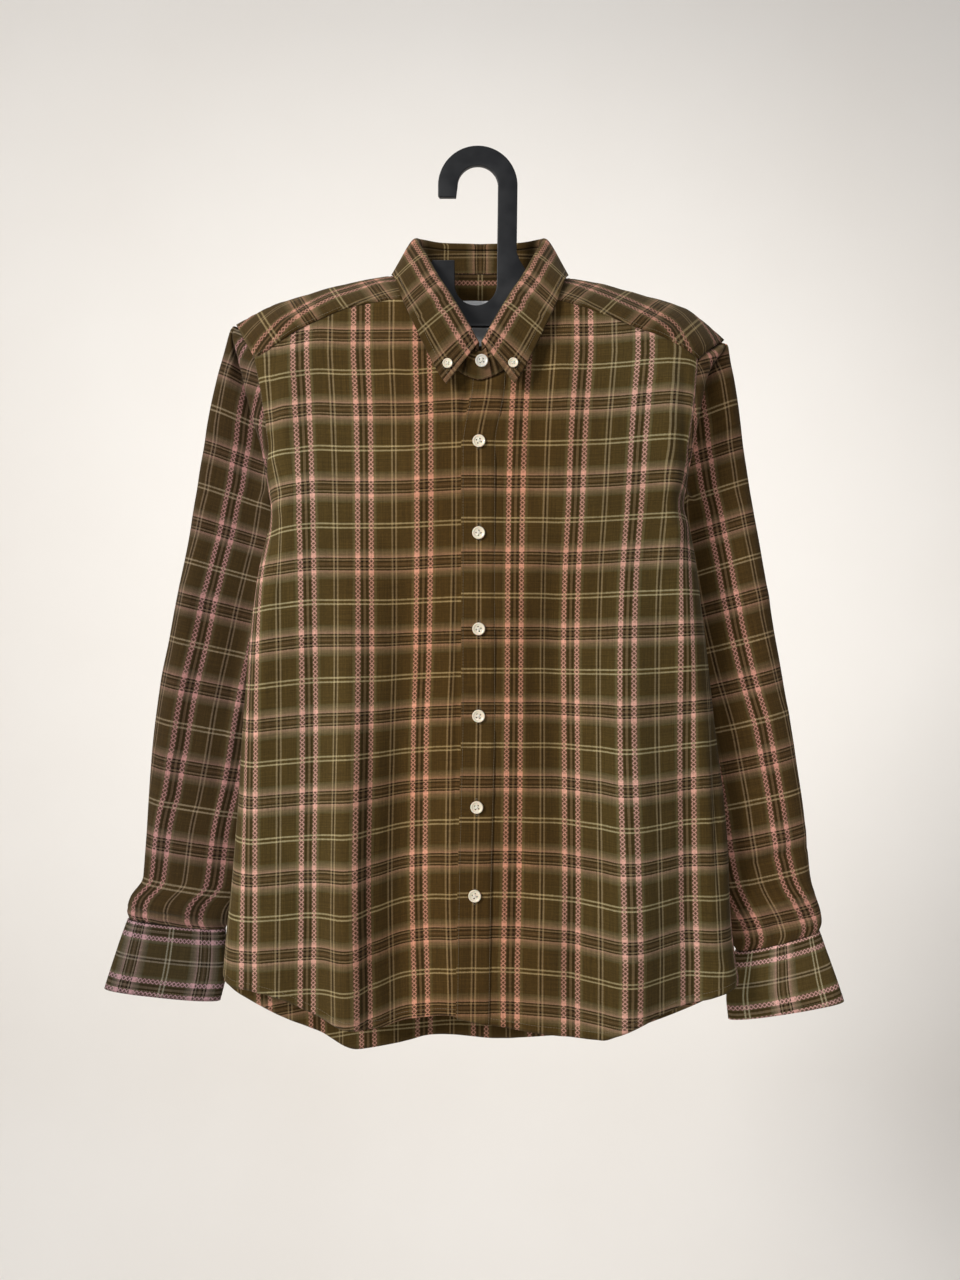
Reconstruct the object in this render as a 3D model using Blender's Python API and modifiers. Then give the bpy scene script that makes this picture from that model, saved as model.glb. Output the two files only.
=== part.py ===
"""A long-sleeved flannel shirt with a button-down collar, hung on a flat plastic hanger.

The origin is the inside top of the hanger's hook, where a peg carries it.  X runs across the shirt, -Y is
its front and +Z is up.  Tables are in millimetres.  Heights on the garment are measured from its neck point,
the top of the shoulder beside the collar, which hangs NECK_DROP below the hook.  "Side" is -1 for the
wearer's right, at -X, and +1 for the wearer's left.
"""
import math
from collections import namedtuple

import bpy
from mathutils import Vector

# ---- driving dimensions, millimetres ----
NECK_DROP = 110.0           # hook to neck point
CENTRE = 2.5                # x of the collar's middle
CLOTH = 1.2                 # brushed flannel
FACED = 2.0                 # two layers and interlining: collar and cuffs
SEAM_GAP = 0.5              # between pieces that are sewn to each other
LAY_GAP = 0.3               # between pieces that lie on each other
SIDE_ROUND = 27.0           # radius of the body's rounded edge, across
CROWN = 3.0                 # how far the fronts fall back towards the sides
SHOULDER_FULL = 0.4         # 0 for a straight slope from crest to seam, 1 for a round one
BACK_ROUND = 1.7            # how full the back is, as an exponent
PLACKET_WIDTH = 33.0
PLACKET_THICK = 1.4
SLEEVE_PLACKET = (24.0, 118.0)   # width, length
BUTTON = (12.2, 2.4)        # diameter, thickness
SMALL_BUTTON = (9.4, 2.0)
HANGER_THICK = 5.5
HOOK_OUTER = 39.4
HOOK_INNER = 20.0
LABEL = (50.0, 46.0, 0.5)   # width, height, thickness

# ---- how many points each piece has ----
FRONT_GRID = (15, 22)
BACK_GRID = (24, 17)
YOKE_GRID = (36, 8)
SLEEVE_COLUMNS = (9, 15)    # seam to outer edge, outer edge round the back to the seam
COLLAR_STEPS = 3            # points between two rows of the collar's table
LEAF_POINTS = 8
CUFF_COLUMNS = 34

# ---- tables ----
# The body's edge seen from the front: the armhole seam down to the underarm, then the side seam.
Edge = namedtuple("Edge", "height right left depth")
BODY_EDGE = [
    Edge(-92, 214.0, 211.0, -31), Edge(-117, 208.5, 208.5, -33), Edge(-142, 204.5, 206.0, -34),
    Edge(-160, 202.0, 203.5, -34), Edge(-177, 200.5, 201.5, -32), Edge(-195, 203.5, 204.0, -21),
    Edge(-212, 204.5, 204.5, -6), Edge(-228, 204.0, 204.5, 9), Edge(-252, 206.0, 209.5, 6),
    Edge(-282, 212.0, 214.5, 3), Edge(-321, 219.0, 219.0, 1), Edge(-360, 224.0, 224.0, 0),
    Edge(-409, 227.7, 229.5, -1), Edge(-458, 231.6, 234.0, -2), Edge(-507, 234.6, 239.0, -3),
    Edge(-557, 238.5, 243.5, -4), Edge(-606, 242.4, 246.5, -5), Edge(-645, 246.4, 249.5, -5),
    Edge(-700, 250.5, 256.5, -5), Edge(-760, 252.0, 259.0, -5)]
UNDERARM = -228.0

# The back's armhole seam, from the yoke down to the underarm.
BackEdge = namedtuple("BackEdge", "height right left depth")
BACK_EDGE = [
    BackEdge(-88, 212.0, 210.0, 15), BackEdge(-120, 206.0, 206.5, 15), BackEdge(-160, 202.0, 203.0, 13),
    BackEdge(-195, 202.5, 203.5, 11), BackEdge(-228, 204.0, 204.5, 9)]

# Depth of the middle of the front and of the back.
Depth = namedtuple("Depth", "height front back")
BODY_DEPTH = [
    Depth(-20, -33, 37), Depth(-60, -36, 37), Depth(-114, -41, 36), Depth(-160, -43, 34),
    Depth(-250, -43, 31), Depth(-400, -41, 27), Depth(-600, -37, 22), Depth(-760, -32, 17)]

# The middle line of the placket.
Middle = namedtuple("Middle", "height x")
CENTRE_FRONT = [
    Middle(-90, 4.4), Middle(-130, 2.8), Middle(-173, 1.0), Middle(-432, 0.8), Middle(-519, -0.9),
    Middle(-604, -2.8), Middle(-740, -4.8)]

# Front yoke seam, by distance from CENTRE.
Seam = namedtuple("Seam", "across right left")
YOKE_SEAM = [
    Seam(59, -31, -31), Seam(79, -33.5, -36), Seam(100, -37, -42), Seam(127, -42.5, -52.5),
    Seam(148, -51, -61), Seam(172, -62.5, -69.5), Seam(192, -75, -79.5), Seam(212, -90, -93)]

# Shoulder line, by distance from CENTRE, and the depth of the yoke's fullest point at the back.
Shoulder = namedtuple("Shoulder", "across right left back")
SHOULDER = [
    Shoulder(60, 2, 1.5, 34), Shoulder(85, 1, -1.3, 32), Shoulder(108, -1.5, -4.5, 30),
    Shoulder(140, -8.5, -12, 28), Shoulder(173, -17.5, -21, 25), Shoulder(202, -26.5, -30.5, 22),
    Shoulder(224, -37, -46, 18), Shoulder(242.5, -47, -62, 12)]
YOKE_BACK = Seam(0, -72, -88)        # height of the back seam: middle, armhole

# Hems, by x.
Hem = namedtuple("Hem", "x height")
FRONT_HEM = [
    Hem(-256, -682), Hem(-249, -686), Hem(-236, -694), Hem(-221, -696), Hem(-191, -703), Hem(-158, -717.5),
    Hem(-127, -728), Hem(-93, -732), Hem(-68, -728), Hem(-25, -721), Hem(0, -727), Hem(36, -733),
    Hem(80, -738.5), Hem(118, -741), Hem(132, -736), Hem(156, -724), Hem(193, -714), Hem(223, -706),
    Hem(245, -699), Hem(262, -694)]
BACK_HEM = [
    Hem(-256, -690), Hem(-241, -706), Hem(-216, -722), Hem(-191, -736), Hem(-158, -751), Hem(-122, -772),
    Hem(-80, -766), Hem(-48, -760), Hem(22, -763), Hem(80, -761), Hem(130, -756), Hem(180, -738),
    Hem(220, -719), Hem(245, -706), Hem(262, -698)]

# Broad vertical folds: a crest starts at top and grows down to the hem.
Fold = namedtuple("Fold", "x_top x_hem top width height")
FRONT_FOLDS = [
    Fold(-112, -120, -300, 30, 8.0), Fold(120, 134, -330, 38, 8.5), Fold(-190, -196, -380, 24, 3.5),
    Fold(50, 62, -420, 26, 3.0)]
BACK_FOLDS = [
    Fold(-95, -122, -180, 34, 7.0), Fold(-20, -30, -260, 30, 5.5), Fold(70, 84, -220, 36, 7.5)]

# Collar sections, from the centre front round to the centre back: neck seam, roll and fall edge.  Each is
# the distance from CENTRE, the depth and the height.
Collar = namedtuple("Collar", "neck roll fall")
COLLAR = [
    Collar((2.0, -41, -114), (1.6, -44, -80), (32.0, -53, -120)),
    Collar((20.0, -41, -106), (5.5, -43.5, -73), (39.0, -52.5, -110)),
    Collar((36.0, -40, -86), (12.0, -41.5, -60), (48.5, -51, -92)),
    Collar((48.0, -38, -64), (26.5, -33.5, -32), (62.5, -46, -62)),
    Collar((59.0, -34, -31), (41.0, -22, -6), (73.5, -39, -37)),
    Collar((62.0, -18, -13), (52.0, -8, 18), (82.5, -21, -10)),
    Collar((61.5, 0, 2), (62.0, 10, 40), (87.0, 2, 2)),
    Collar((54.0, 16, 8), (57.0, 22, 45), (78.0, 27, 5)),
    Collar((34.0, 28, 13), (36.0, 32, 46), (47.0, 42, 6)),
    Collar((0.0, 33, 15), (0.0, 35, 46.5), (0.0, 46, 6))]
FRONT_ROWS = 5              # the first rows of the neck seam lie on the fronts
STAND_OVER = 15.0           # how far the stand's upper end passes the centre front
STAND_TOP = 0.78            # how far up from neck seam to roll the stand reaches
STAND_LAP = 2.5             # depth between the lapped ends

# The sleeve's head: where it leaves the armhole it stands out in a fold, falls into a hollow, then hangs
# behind the body.  Columns: height, outer edge, inner edge, middle depth, half depth, fold, hollow.
Head = namedtuple("Head", "height outer inner middle half fold hollow")
FOLDED_BELOW = -130.0       # from here down the sleeve also passes behind the back panel
SLEEVE_HEAD = {
    -1: [Head(-52, 244.5, 233, 2, 7, (241.5, -6), (243.0, -2)),
         Head(-61, 248.2, 229, 4, 11, (239.5, -12), (241.0, -3)),
         Head(-78, 253.5, 222, 7, 14, (235.0, -17), (237.0, -1)),
         Head(-98, 259.5, 212, 10, 17, (230.0, -19), (229.0, 2)),
         Head(-120, 265.5, 206, 15, 18, (225.0, -20), (220.5, 3)),
         Head(-143, 271.5, 198, 21, 18, (219.5, -22), (213.5, 4)),
         Head(-164, 276.0, 185, 26, 17, (213.5, -22), (210.5, 7)),
         Head(-186, 280.5, 175, 28, 17, (209.0, -19), (211.0, 9)),
         Head(-207, 284.0, 169, 29, 16, (209.5, -2), (214.0, 11))],
    1: [Head(-69, 248.0, 235, 3, 8, (243.5, -7), (244.5, -1)),
        Head(-77, 249.6, 230, 5, 12, (238.5, -14), (239.5, -2)),
        Head(-87, 251.7, 224, 7, 14, (231.5, -17), (231.0, 1)),
        Head(-102, 255.5, 214, 10, 17, (224.0, -20), (222.0, 3)),
        Head(-120, 259.7, 207, 15, 18, (219.0, -23), (215.0, 4)),
        Head(-143, 264.5, 199, 21, 18, (214.0, -25), (211.5, 4)),
        Head(-164, 268.5, 185, 26, 17, (210.5, -24), (210.5, 7)),
        Head(-186, 272.3, 175, 28, 17, (209.0, -19), (211.0, 9)),
        Head(-207, 276.0, 169, 29, 16, (209.5, -2), (214.0, 11))]}

# The sleeve below the underarm, a flattened tube: height and x of its outer and inner edges, depths.
Ring = namedtuple("Ring", "outer_height inner_height outer inner middle half")
SLEEVE_RINGS = {
    -1: [Ring(-228, -228, 288.0, 166, 29, 16), Ring(-255, -255, 292.0, 169, 28, 16),
         Ring(-283, -283, 297.3, 174, 27, 17), Ring(-322, -322, 305.0, 181, 25, 17),
         Ring(-363, -363, 312.4, 190, 24, 17), Ring(-400, -400, 320.4, 199, 23, 16),
         Ring(-440, -440, 326.5, 207, 22, 16), Ring(-482, -482, 330.5, 215, 21, 15),
         Ring(-526, -528, 333.5, 222, 20, 15), Ring(-565, -570, 335.5, 229, 19, 14),
         Ring(-592, -600, 337.0, 235, 19, 14), Ring(-604, -612, 339.0, 237, 18, 15),
         Ring(-618, -628, 350.0, 243, 18, 17), Ring(-632, -643, 354.5, 251, 18, 15),
         Ring(-641.4, -651.4, 352.6, 256.4, 18, 12)],
    1: [Ring(-228, -228, 280.0, 166, 29, 16), Ring(-255, -255, 284.3, 169, 28, 16),
        Ring(-283, -283, 288.5, 174, 27, 17), Ring(-322, -322, 294.5, 181, 25, 17),
        Ring(-363, -363, 301.2, 190, 24, 17), Ring(-400, -400, 307.8, 199, 23, 16),
        Ring(-440, -440, 314.8, 207, 22, 16), Ring(-482, -482, 321.2, 214, 21, 15),
        Ring(-526, -530, 327.8, 221, 20, 15), Ring(-570, -576, 332.5, 228, 19, 14),
        Ring(-598, -608, 335.5, 235, 19, 14), Ring(-614, -628, 339.5, 239, 18, 16),
        Ring(-630, -648, 345.0, 246, 18, 17), Ring(-644, -665, 347.0, 256, 18, 15),
        Ring(-653.4, -674.6, 344.4, 261.4, 18, 12)]}
CUFF_RINGS = {
    -1: [Ring(-642, -652, 353.0, 256, 18, 12), Ring(-664, -676, 361.0, 255, 18, 11.5),
         Ring(-688, -700, 369.0, 256, 18, 11), Ring(-712, -724, 376.5, 261, 18, 11)],
    1: [Ring(-654, -675, 345.0, 261, 18, 12), Ring(-677, -698, 353.0, 256, 18, 11.5),
        Ring(-701, -720, 361.0, 252, 18, 11), Ring(-725, -743, 369.0, 254, 18, 11)]}
CUFF_BUTTON_ROW = 1         # the button lies under this row of CUFF_RINGS
CUFF_LAP = 16.0             # how far the cuff's ends lie over each other

# The hanger's arm, from the neck plate to its end: how deep it is below its top edge.
Arm = namedtuple("Arm", "x deep")
HANGER_ARM = [Arm(68, 44), Arm(90, 41), Arm(130, 36), Arm(172, 30), Arm(205, 25), Arm(214, 18)]
ARM_CLEAR = 7.0             # from the yoke's middle surface at its crest down to the arm
NECK_PLATE = (-94.0, -156.0)     # heights of the plate's top and lower edge
NOTCH = (-2.0, -118.0, 20.8)     # x, height and radius of the notch's round end
BLOCK = (-45.5, -23.0)           # the plate's left block, between its outer side and the notch
STEM = (18.8, 38.0)
STEM_FOOT = (49.0, -106.0)

BUTTON_HEIGHTS = [-173.0, -258.5, -349.5, -432.5, -519.5, -604.5]
STAND_BUTTON = (4.1, -97.6)      # x, height
COLLAR_BUTTON = (31.5, -101.5)   # distance from CENTRE, height

COLOURS = {
    "flannel": ((0.072, 0.058, 0.026), 0.95, 0.0),
    "satin": ((0.80, 0.80, 0.79), 0.35, 0.0),
    "button": ((0.78, 0.70, 0.55), 0.35, 0.0),
    "plastic": ((0.012, 0.012, 0.013), 0.42, 0.0)}


# ---- small helpers ----
def read(table, column, where):
    """Smooth value of a table's column at a place given in its first column."""
    rows = sorted(table, key=lambda row: row[0])
    places = [row[0] for row in rows]
    values = [getattr(row, column) for row in rows]
    if where <= places[0]:
        return values[0]
    if where >= places[-1]:
        return values[-1]
    i = max(k for k in range(len(places) - 1) if places[k] <= where)
    steps = [(values[k + 1] - values[k]) / (places[k + 1] - places[k]) for k in range(len(places) - 1)]

    def slope(k):
        if k == 0:
            return steps[0]
        if k == len(places) - 1:
            return steps[-1]
        before, after = steps[k - 1], steps[k]
        if before * after <= 0:
            return 0.0
        return 2 * before * after / (before + after)

    span = places[i + 1] - places[i]
    t = (where - places[i]) / span
    a, b = values[i], values[i + 1]
    return ((2 * t ** 3 - 3 * t ** 2 + 1) * a + (t ** 3 - 2 * t ** 2 + t) * span * slope(i)
            + (3 * t ** 2 - 2 * t ** 3) * b + (t ** 3 - t ** 2) * span * slope(i + 1))


def side_name(side):
    return "right" if side < 0 else "left"


def mix(a, b, t):
    return a + (b - a) * t


def fade(value, start, end):
    """0 before start, 1 past end, smooth between them."""
    t = min(1.0, max(0.0, (value - start) / (end - start)))
    return t * t * (3 - 2 * t)


def through(keys, steps):
    """A smooth line through its key points, with a number of steps between two of them."""
    points = [Vector(key) for key in keys]
    ends = [points[0] * 2 - points[1]] + points + [points[-1] * 2 - points[-2]]
    line = []
    for k in range(1, len(ends) - 2):
        p0, p1, p2, p3 = ends[k - 1:k + 3]
        for step in range(steps):
            t = step / steps
            line.append(0.5 * (2 * p1 + (p2 - p0) * t + (2 * p0 - 5 * p1 + 4 * p2 - p3) * t ** 2
                               + (3 * p1 - p0 - 3 * p2 + p3) * t ** 3))
    line.append(points[-1])
    return line


def evenly(line, count):
    """The same line with count points, evenly spaced along it."""
    lengths = [0.0]
    for a, b in zip(line, line[1:]):
        lengths.append(lengths[-1] + (b - a).length)
    out = []
    k = 0
    for n in range(count):
        goal = lengths[-1] * n / (count - 1)
        while k < len(line) - 2 and lengths[k + 1] < goal:
            k += 1
        span = lengths[k + 1] - lengths[k]
        t = 0.0 if span == 0 else (goal - lengths[k]) / span
        out.append(line[k].lerp(line[k + 1], min(1.0, t)))
    return out


def material(kind):
    made = bpy.data.materials.get(kind)
    if made is None:
        colour, roughness, metallic = COLOURS[kind]
        made = bpy.data.materials.new(kind)
        made.use_nodes = True
        shader = made.node_tree.nodes["Principled BSDF"]
        shader.inputs["Base Color"].default_value = (*colour, 1.0)
        shader.inputs["Roughness"].default_value = roughness
        shader.inputs["Metallic"].default_value = metallic
    return made


def add_object(name, data, kind):
    made = bpy.data.objects.new(name, data)
    made.data.materials.clear()
    own = material(kind).copy()
    own.name = name
    made.data.materials.append(own)
    bpy.data.collections["flannel_shirt"].objects.link(made)
    return made


def metres(x, y, height):
    """A garment point, in millimetres from the neck point, as metres from the hook."""
    return (x * 0.001, y * 0.001, (height - NECK_DROP) * 0.001)


def wall(name, rows, thickness, kind="flannel", joined_from=None):
    """A cloth wall round a grid of points.  From row joined_from on, its last column is its first."""
    points = []
    index = []
    for number, row in enumerate(rows):
        closed = joined_from is not None and number >= joined_from
        used = row[:-1] if closed else row
        first = len(points)
        points.extend(metres(*point) for point in used)
        line = list(range(first, first + len(used)))
        index.append(line + [first] if closed else line)
    faces = []
    for upper, lower in zip(index, index[1:]):
        for k in range(len(upper) - 1):
            faces.append((upper[k], upper[k + 1], lower[k + 1], lower[k]))
    mesh = bpy.data.meshes.new(name)
    mesh.from_pydata(points, [], faces)
    mesh.shade_smooth()
    made = add_object(name, mesh, kind)
    solid = made.modifiers.new("cloth", "SOLIDIFY")
    solid.thickness = thickness * 0.001
    solid.offset = 0.0
    solid.use_quality_normals = True
    return made


NECK_LINE = through([row.neck for row in COLLAR], 12)


# ---- the body's shape ----
def folds(table, x, height):
    """How far the broad folds stand out at a place."""
    out = 0.0
    for fold in table:
        down = fade(-height, -fold.top, 700.0)
        middle = mix(fold.x_top, fold.x_hem, down)
        out += fold.height * down * math.exp(-((x - middle) / fold.width) ** 2)
    return out


def front_depth(x, height):
    return read(BODY_DEPTH, "front", height) + CROWN * (x / 200.0) ** 2 - folds(FRONT_FOLDS, x, height)


def front_point(side, across, height, start=None):
    """A point of the front: across is 0 at the centre front and 1 at the armhole or side seam."""
    edge = side * read(BODY_EDGE, side_name(side), height)
    end_depth = read(BODY_EDGE, "depth", height)
    if start is None:
        start = read(CENTRE_FRONT, "x", height)
    flat = abs(edge - start) - SIDE_ROUND
    turn = start + side * flat
    turn_depth = front_depth(turn, height)
    drop = end_depth - turn_depth
    arc = math.pi / 2 * math.sqrt((SIDE_ROUND ** 2 + drop ** 2) / 2)
    along = across * (flat + arc)
    if along <= flat:
        x = start + side * along
        return (x, front_depth(x, height))
    angle = (along - flat) / arc * math.pi / 2
    return (turn + side * SIDE_ROUND * math.sin(angle), turn_depth + drop * (1 - math.cos(angle)))


def back_edge(side, height):
    table = BACK_EDGE if height > UNDERARM else BODY_EDGE
    return side * read(table, side_name(side), height), read(table, "depth", height)


def back_depth(x, height):
    side = -1 if x < 0 else 1
    edge, end_depth = back_edge(side, height)
    full = max(0.0, 1 - (x / edge) ** 2) ** BACK_ROUND
    return mix(end_depth, read(BODY_DEPTH, "back", height), full) + folds(BACK_FOLDS, x, height) * full


def top_of_front(side, x):
    """Height of the neck seam, or of the yoke seam past it, over a place on the front."""
    across = abs(x - CENTRE)
    corner = COLLAR[FRONT_ROWS - 1].neck[0]
    if across >= corner:
        return read(YOKE_SEAM, side_name(side), across)
    line = NECK_LINE
    for a, b in zip(line, line[1:]):
        if a.x <= across <= b.x:
            return mix(a.z, b.z, (across - a.x) / max(1e-9, b.x - a.x))
    return line[0].z


def front_y(x, height):
    """Depth of the front at any x, its rounded edge too."""
    side = -1 if x < 0 else 1
    edge = read(BODY_EDGE, side_name(side), height)
    turn = edge - SIDE_ROUND
    past = min(1.0, max(0.0, (abs(x) - turn) / SIDE_ROUND))
    turn_depth = front_depth(side * turn, height)
    if past == 0.0:
        return front_depth(x, height)
    drop = read(BODY_EDGE, "depth", height) - turn_depth
    return turn_depth + drop * (1 - math.sqrt(1 - past * past))


def settle(limit, place):
    """The height at which a column that leans meets an edge that depends on x."""
    height = -300.0
    for _ in range(12):
        height = mix(height, limit(place(height)), 0.8)
    return height


def build_front(side):
    columns, levels = FRONT_GRID
    # The wearer's right front passes under the placket to just beyond its middle.
    past = 4.0 if side < 0 else 4.7
    end = 1.0 - 1.3 / 260.0

    def start(height):
        return read(CENTRE_FRONT, "x", height) + past

    rows = []
    for level in range(levels):
        down = level / (levels - 1)
        row = []
        for column in range(columns):
            across = end * (column / (columns - 1)) ** 1.15

            def place(height):
                return front_point(side, across, height, start(height))[0]

            top = settle(lambda x: top_of_front(side, x), place) - SEAM_GAP
            hem = settle(lambda x: read(FRONT_HEM, "height", x), place)
            height = mix(top, hem, down ** 1.25)
            x, y = front_point(side, across, height, start(height))
            row.append((x, y, height))
        rows.append(row)
    return wall("front_" + side_name(side), rows, CLOTH)


def yoke_back_height(x):
    return mix(YOKE_BACK.right, YOKE_BACK.left, min(1.0, abs(x - CENTRE) / 212.0) ** 1.6)


def build_back():
    columns, levels = BACK_GRID
    rows = []
    for level in range(levels):
        down = level / (levels - 1)
        row = []
        for column in range(columns):
            spread = 2 * column / (columns - 1) - 1
            side = -1 if spread < 0 else 1
            across = math.sin(abs(spread) * math.pi / 2 * 0.8) / math.sin(math.pi / 2 * 0.8)

            def place(height):
                return back_edge(side, height)[0] * across

            top = settle(yoke_back_height, place) - SEAM_GAP
            hem = settle(lambda x: read(BACK_HEM, "height", x), place)
            height = mix(top, hem, down ** 1.25)
            x = place(height)
            row.append((x, back_depth(x, height), height))
        rows.append(row)
    return wall("back_panel", rows, CLOTH)


def yoke_section(side, station):
    """The yoke from its front or neck edge over the shoulder to its back seam.

    Station 0 is at the armhole, 1 at the front corner of the neck and 2 at the centre back.
    """
    name = side_name(side)
    corner = COLLAR[FRONT_ROWS - 1].neck
    if station <= 1:
        across = mix(212.0, corner[0], station)
        x = CENTRE + side * across
        if station == 0:
            x = side * read(BODY_EDGE, name, -92)
        edge_height = top_of_front(side, x)
        start = Vector((x, front_y(x, edge_height), edge_height + 0.4))
        crest_across = mix(242.5, 90.0, station)
    else:
        first = (FRONT_ROWS - 1) * 12
        place = first + (station - 1) * (len(NECK_LINE) - 1 - first)
        k = min(len(NECK_LINE) - 2, int(place))
        point = NECK_LINE[k].lerp(NECK_LINE[k + 1], place - k)
        level = front_y(CENTRE + side * corner[0], corner[2]) - corner[1]
        depth = point.y + level * (1 - fade(point.y, corner[1], 0.0))
        start = Vector((CENTRE + side * point.x, depth, point.z))
        crest_across = mix(90.0, 64.0, min(1.0, (station - 1) / 0.4))
    edge_x = back_edge(side, YOKE_BACK.left)[0]
    back_x = CENTRE + (edge_x - CENTRE) * (1 - (station / 2) ** 0.9)
    back_height = yoke_back_height(back_x)
    seam = Vector((back_x, back_depth(back_x, back_height), back_height))
    line = []
    crest = start
    if start.y < -0.5 and station < 1.4:
        crest = Vector((CENTRE + side * crest_across, 1.0, read(SHOULDER, name, crest_across)))
        for step in range(12):
            angle = step / 12 * math.pi / 2
            along = 1 - math.cos(angle)
            rise = mix(along, math.sin(angle), SHOULDER_FULL)
            line.append(Vector((mix(start.x, crest.x, rise), mix(start.y, crest.y, along),
                                mix(start.z, crest.z, rise))))
    full_depth = max(seam.y, read(SHOULDER, "back", crest_across) + 2.0 * min(1.0, station))
    full = Vector((mix(crest.x, seam.x, 0.45), full_depth, mix(crest.z, seam.z, 0.55)))
    for step in range(13):
        angle = step / 12 * math.pi / 2
        line.append(Vector((mix(crest.x, full.x, 1 - math.cos(angle)),
                            mix(crest.y, full.y, math.sin(angle)),
                            mix(crest.z, full.z, 1 - math.cos(angle)))))
    line.append(full.lerp(seam, 0.5) + Vector((0, 0.6, 0)))
    line.append(seam)
    return line


def build_yoke():
    columns, levels = YOKE_GRID
    rows = []
    for column in range(columns):
        spread = 2 * column / (columns - 1) - 1
        side = -1 if spread < 0 else 1
        line = yoke_section(side, 2 * (1 - abs(spread)))
        rows.append([tuple(point) for point in evenly(line, levels)])
    return wall("yoke", rows, CLOTH)


# ---- sleeves and cuffs ----
def armhole(side, height, half):
    """The armhole seam at a height: half is 0 for the front and 1 for the back."""
    end = yoke_section(side, 0)
    top = max(range(len(end)), key=lambda k: end[k].z)
    run = list(reversed(end[:top + 1])) if half == 0 else end[top:]
    for a, b in zip(run, run[1:]):
        if b.z <= height <= a.z:
            point = a.lerp(b, (a.z - height) / max(1e-6, a.z - b.z))
            return Vector((point.x, point.y))
    if height > run[0].z:
        return Vector((run[0].x, run[0].y))
    if half == 0:
        return Vector((side * read(BODY_EDGE, side_name(side), height), read(BODY_EDGE, "depth", height)))
    return Vector(back_edge(side, height))


def ring_point(side, ring, angle):
    """A point of a flattened ring: 0 is the middle of its front and 90 degrees its outer edge."""
    centre = (ring.outer + ring.inner) / 2
    half = (ring.outer - ring.inner) / 2
    s, c = math.sin(math.radians(angle)), math.cos(math.radians(angle))
    x = centre + half * math.copysign(abs(s) ** 0.85, s)
    y = ring.middle - ring.half * math.copysign(abs(c) ** 0.9, c)
    return Vector((side * x, y))


def ring_line(side, ring, pull=0.0, start=-19.0):
    """A closed ring from the underarm seam round the outer edge and the back.

    The first rings are pulled towards the body's underarm, where the sleeve is sewn on.
    """
    underarm = Vector(back_edge(side, UNDERARM)) + Vector((side * 1.8, CLOTH + SEAM_GAP + 0.2))
    reach = (underarm - ring_point(side, ring, start)) * pull
    line = []
    for step in range(73):
        turned = 5 * step if step <= 36 else 360 - 5 * step
        point = ring_point(side, ring, start + 5 * step) + reach * math.exp(-(turned / 22.0) ** 2)
        height = mix(ring.inner_height, ring.outer_height,
                     (abs(point.x) - ring.inner) / (ring.outer - ring.inner))
        line.append(Vector((point.x, point.y, height)))
    return line


def head_line(side, head):
    """An open line of the sleeve's head, from the front armhole seam round to the back one."""
    # Along the yoke's sloping end the sleeve starts a little below the seam.
    corner = top_of_front(side, CENTRE + side * 212.0)
    seam_height = head.height + 2.4 * fade(head.height, corner - 8, corner + 6)
    front = armhole(side, seam_height, 0)
    back = armhole(side, seam_height, 1)
    fold = Vector((side * head.fold[0], head.fold[1]))
    hollow = Vector((side * head.hollow[0], head.hollow[1]))
    turned_back = 1.2 * fade(-head.height, 178, 195)
    first = front + (fold - front).normalized() * (CLOTH / 2 + SEAM_GAP)
    first += Vector((side * 0.5 * turned_back, turned_back))
    folded = head.height < FOLDED_BELOW
    keys = [first, fold, hollow]
    for angle in range(0, 360, 15):
        point = ring_point(side, head, angle)
        if angle < 90 and abs(point.x) < head.hollow[0] + 0.25 * (head.outer - head.hollow[0]):
            continue
        if not folded and angle > 90 and abs(point.x) < abs(back.x) + 0.3 * (head.outer - abs(back.x)):
            continue
        if angle > 270 and abs(point.x) > mix(head.inner, abs(back.x), 0.35):
            continue
        keys.append(point)
    if folded:
        tuck = abs(back.x) - head.inner
        keys.append(Vector((side * (abs(back.x) - 0.4 * tuck), back.y + CLOTH + 2.6 + 0.1 * tuck)))
    keys.append(back + Vector((side * 0.3, CLOTH + SEAM_GAP + 0.3)))
    return [Vector((point.x, point.y, head.height)) for point in through([(k.x, k.y, 0) for k in keys], 6)]


def build_sleeve(side):
    lines = [head_line(side, head) for head in SLEEVE_HEAD[side]]
    joined = len(lines)
    pulls = {0: 1.0, 1: 0.3}
    lines += [ring_line(side, ring, pulls.get(k, 0.0)) for k, ring in enumerate(SLEEVE_RINGS[side])]
    rows = []
    for line in lines:
        # Columns are counted from the seam to the outer edge, and on from there, so that they line up.
        turn = max(range(len(line)), key=lambda k: abs(line[k].x))
        front, back = SLEEVE_COLUMNS
        points = evenly(line[:turn + 1], front + 1) + evenly(line[turn:], back + 1)[1:]
        rows.append([tuple(point) for point in points])
    return wall("sleeve_" + side_name(side), rows, CLOTH, joined_from=joined)


def cuff_line(side, ring, count):
    """The cuff's band: a ring whose ends lie over each other at the back."""
    centre = (ring.outer + ring.inner) / 2
    half = (ring.outer - ring.inner) / 2
    lap = CUFF_LAP / half
    line = []
    for step in range(count + 1):
        t = step / count
        # The band starts at the back, runs round the inner edge, the front and the outer edge, and ends
        # outside its own start.
        angle = math.pi * 0.98 - (2 * math.pi + lap) * t
        c, s = math.sin(angle), math.cos(angle)
        out = (FACED + LAY_GAP + 0.5) * fade(t, 0.80, 0.95)
        x = centre - (half + out * abs(c)) * math.copysign(abs(c) ** 0.85, c)
        y = ring.middle - (ring.half + out) * math.copysign(abs(s) ** 0.9, s)
        height = mix(ring.inner_height, ring.outer_height, (x - ring.inner) / (ring.outer - ring.inner))
        line.append(Vector((side * x, y, height)))
    return line


def cuff_rows(side):
    rows = [evenly(cuff_line(side, ring, 90), CUFF_COLUMNS) for ring in CUFF_RINGS[side]]
    for point in rows[0]:
        point.z -= SEAM_GAP
    return rows


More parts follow.
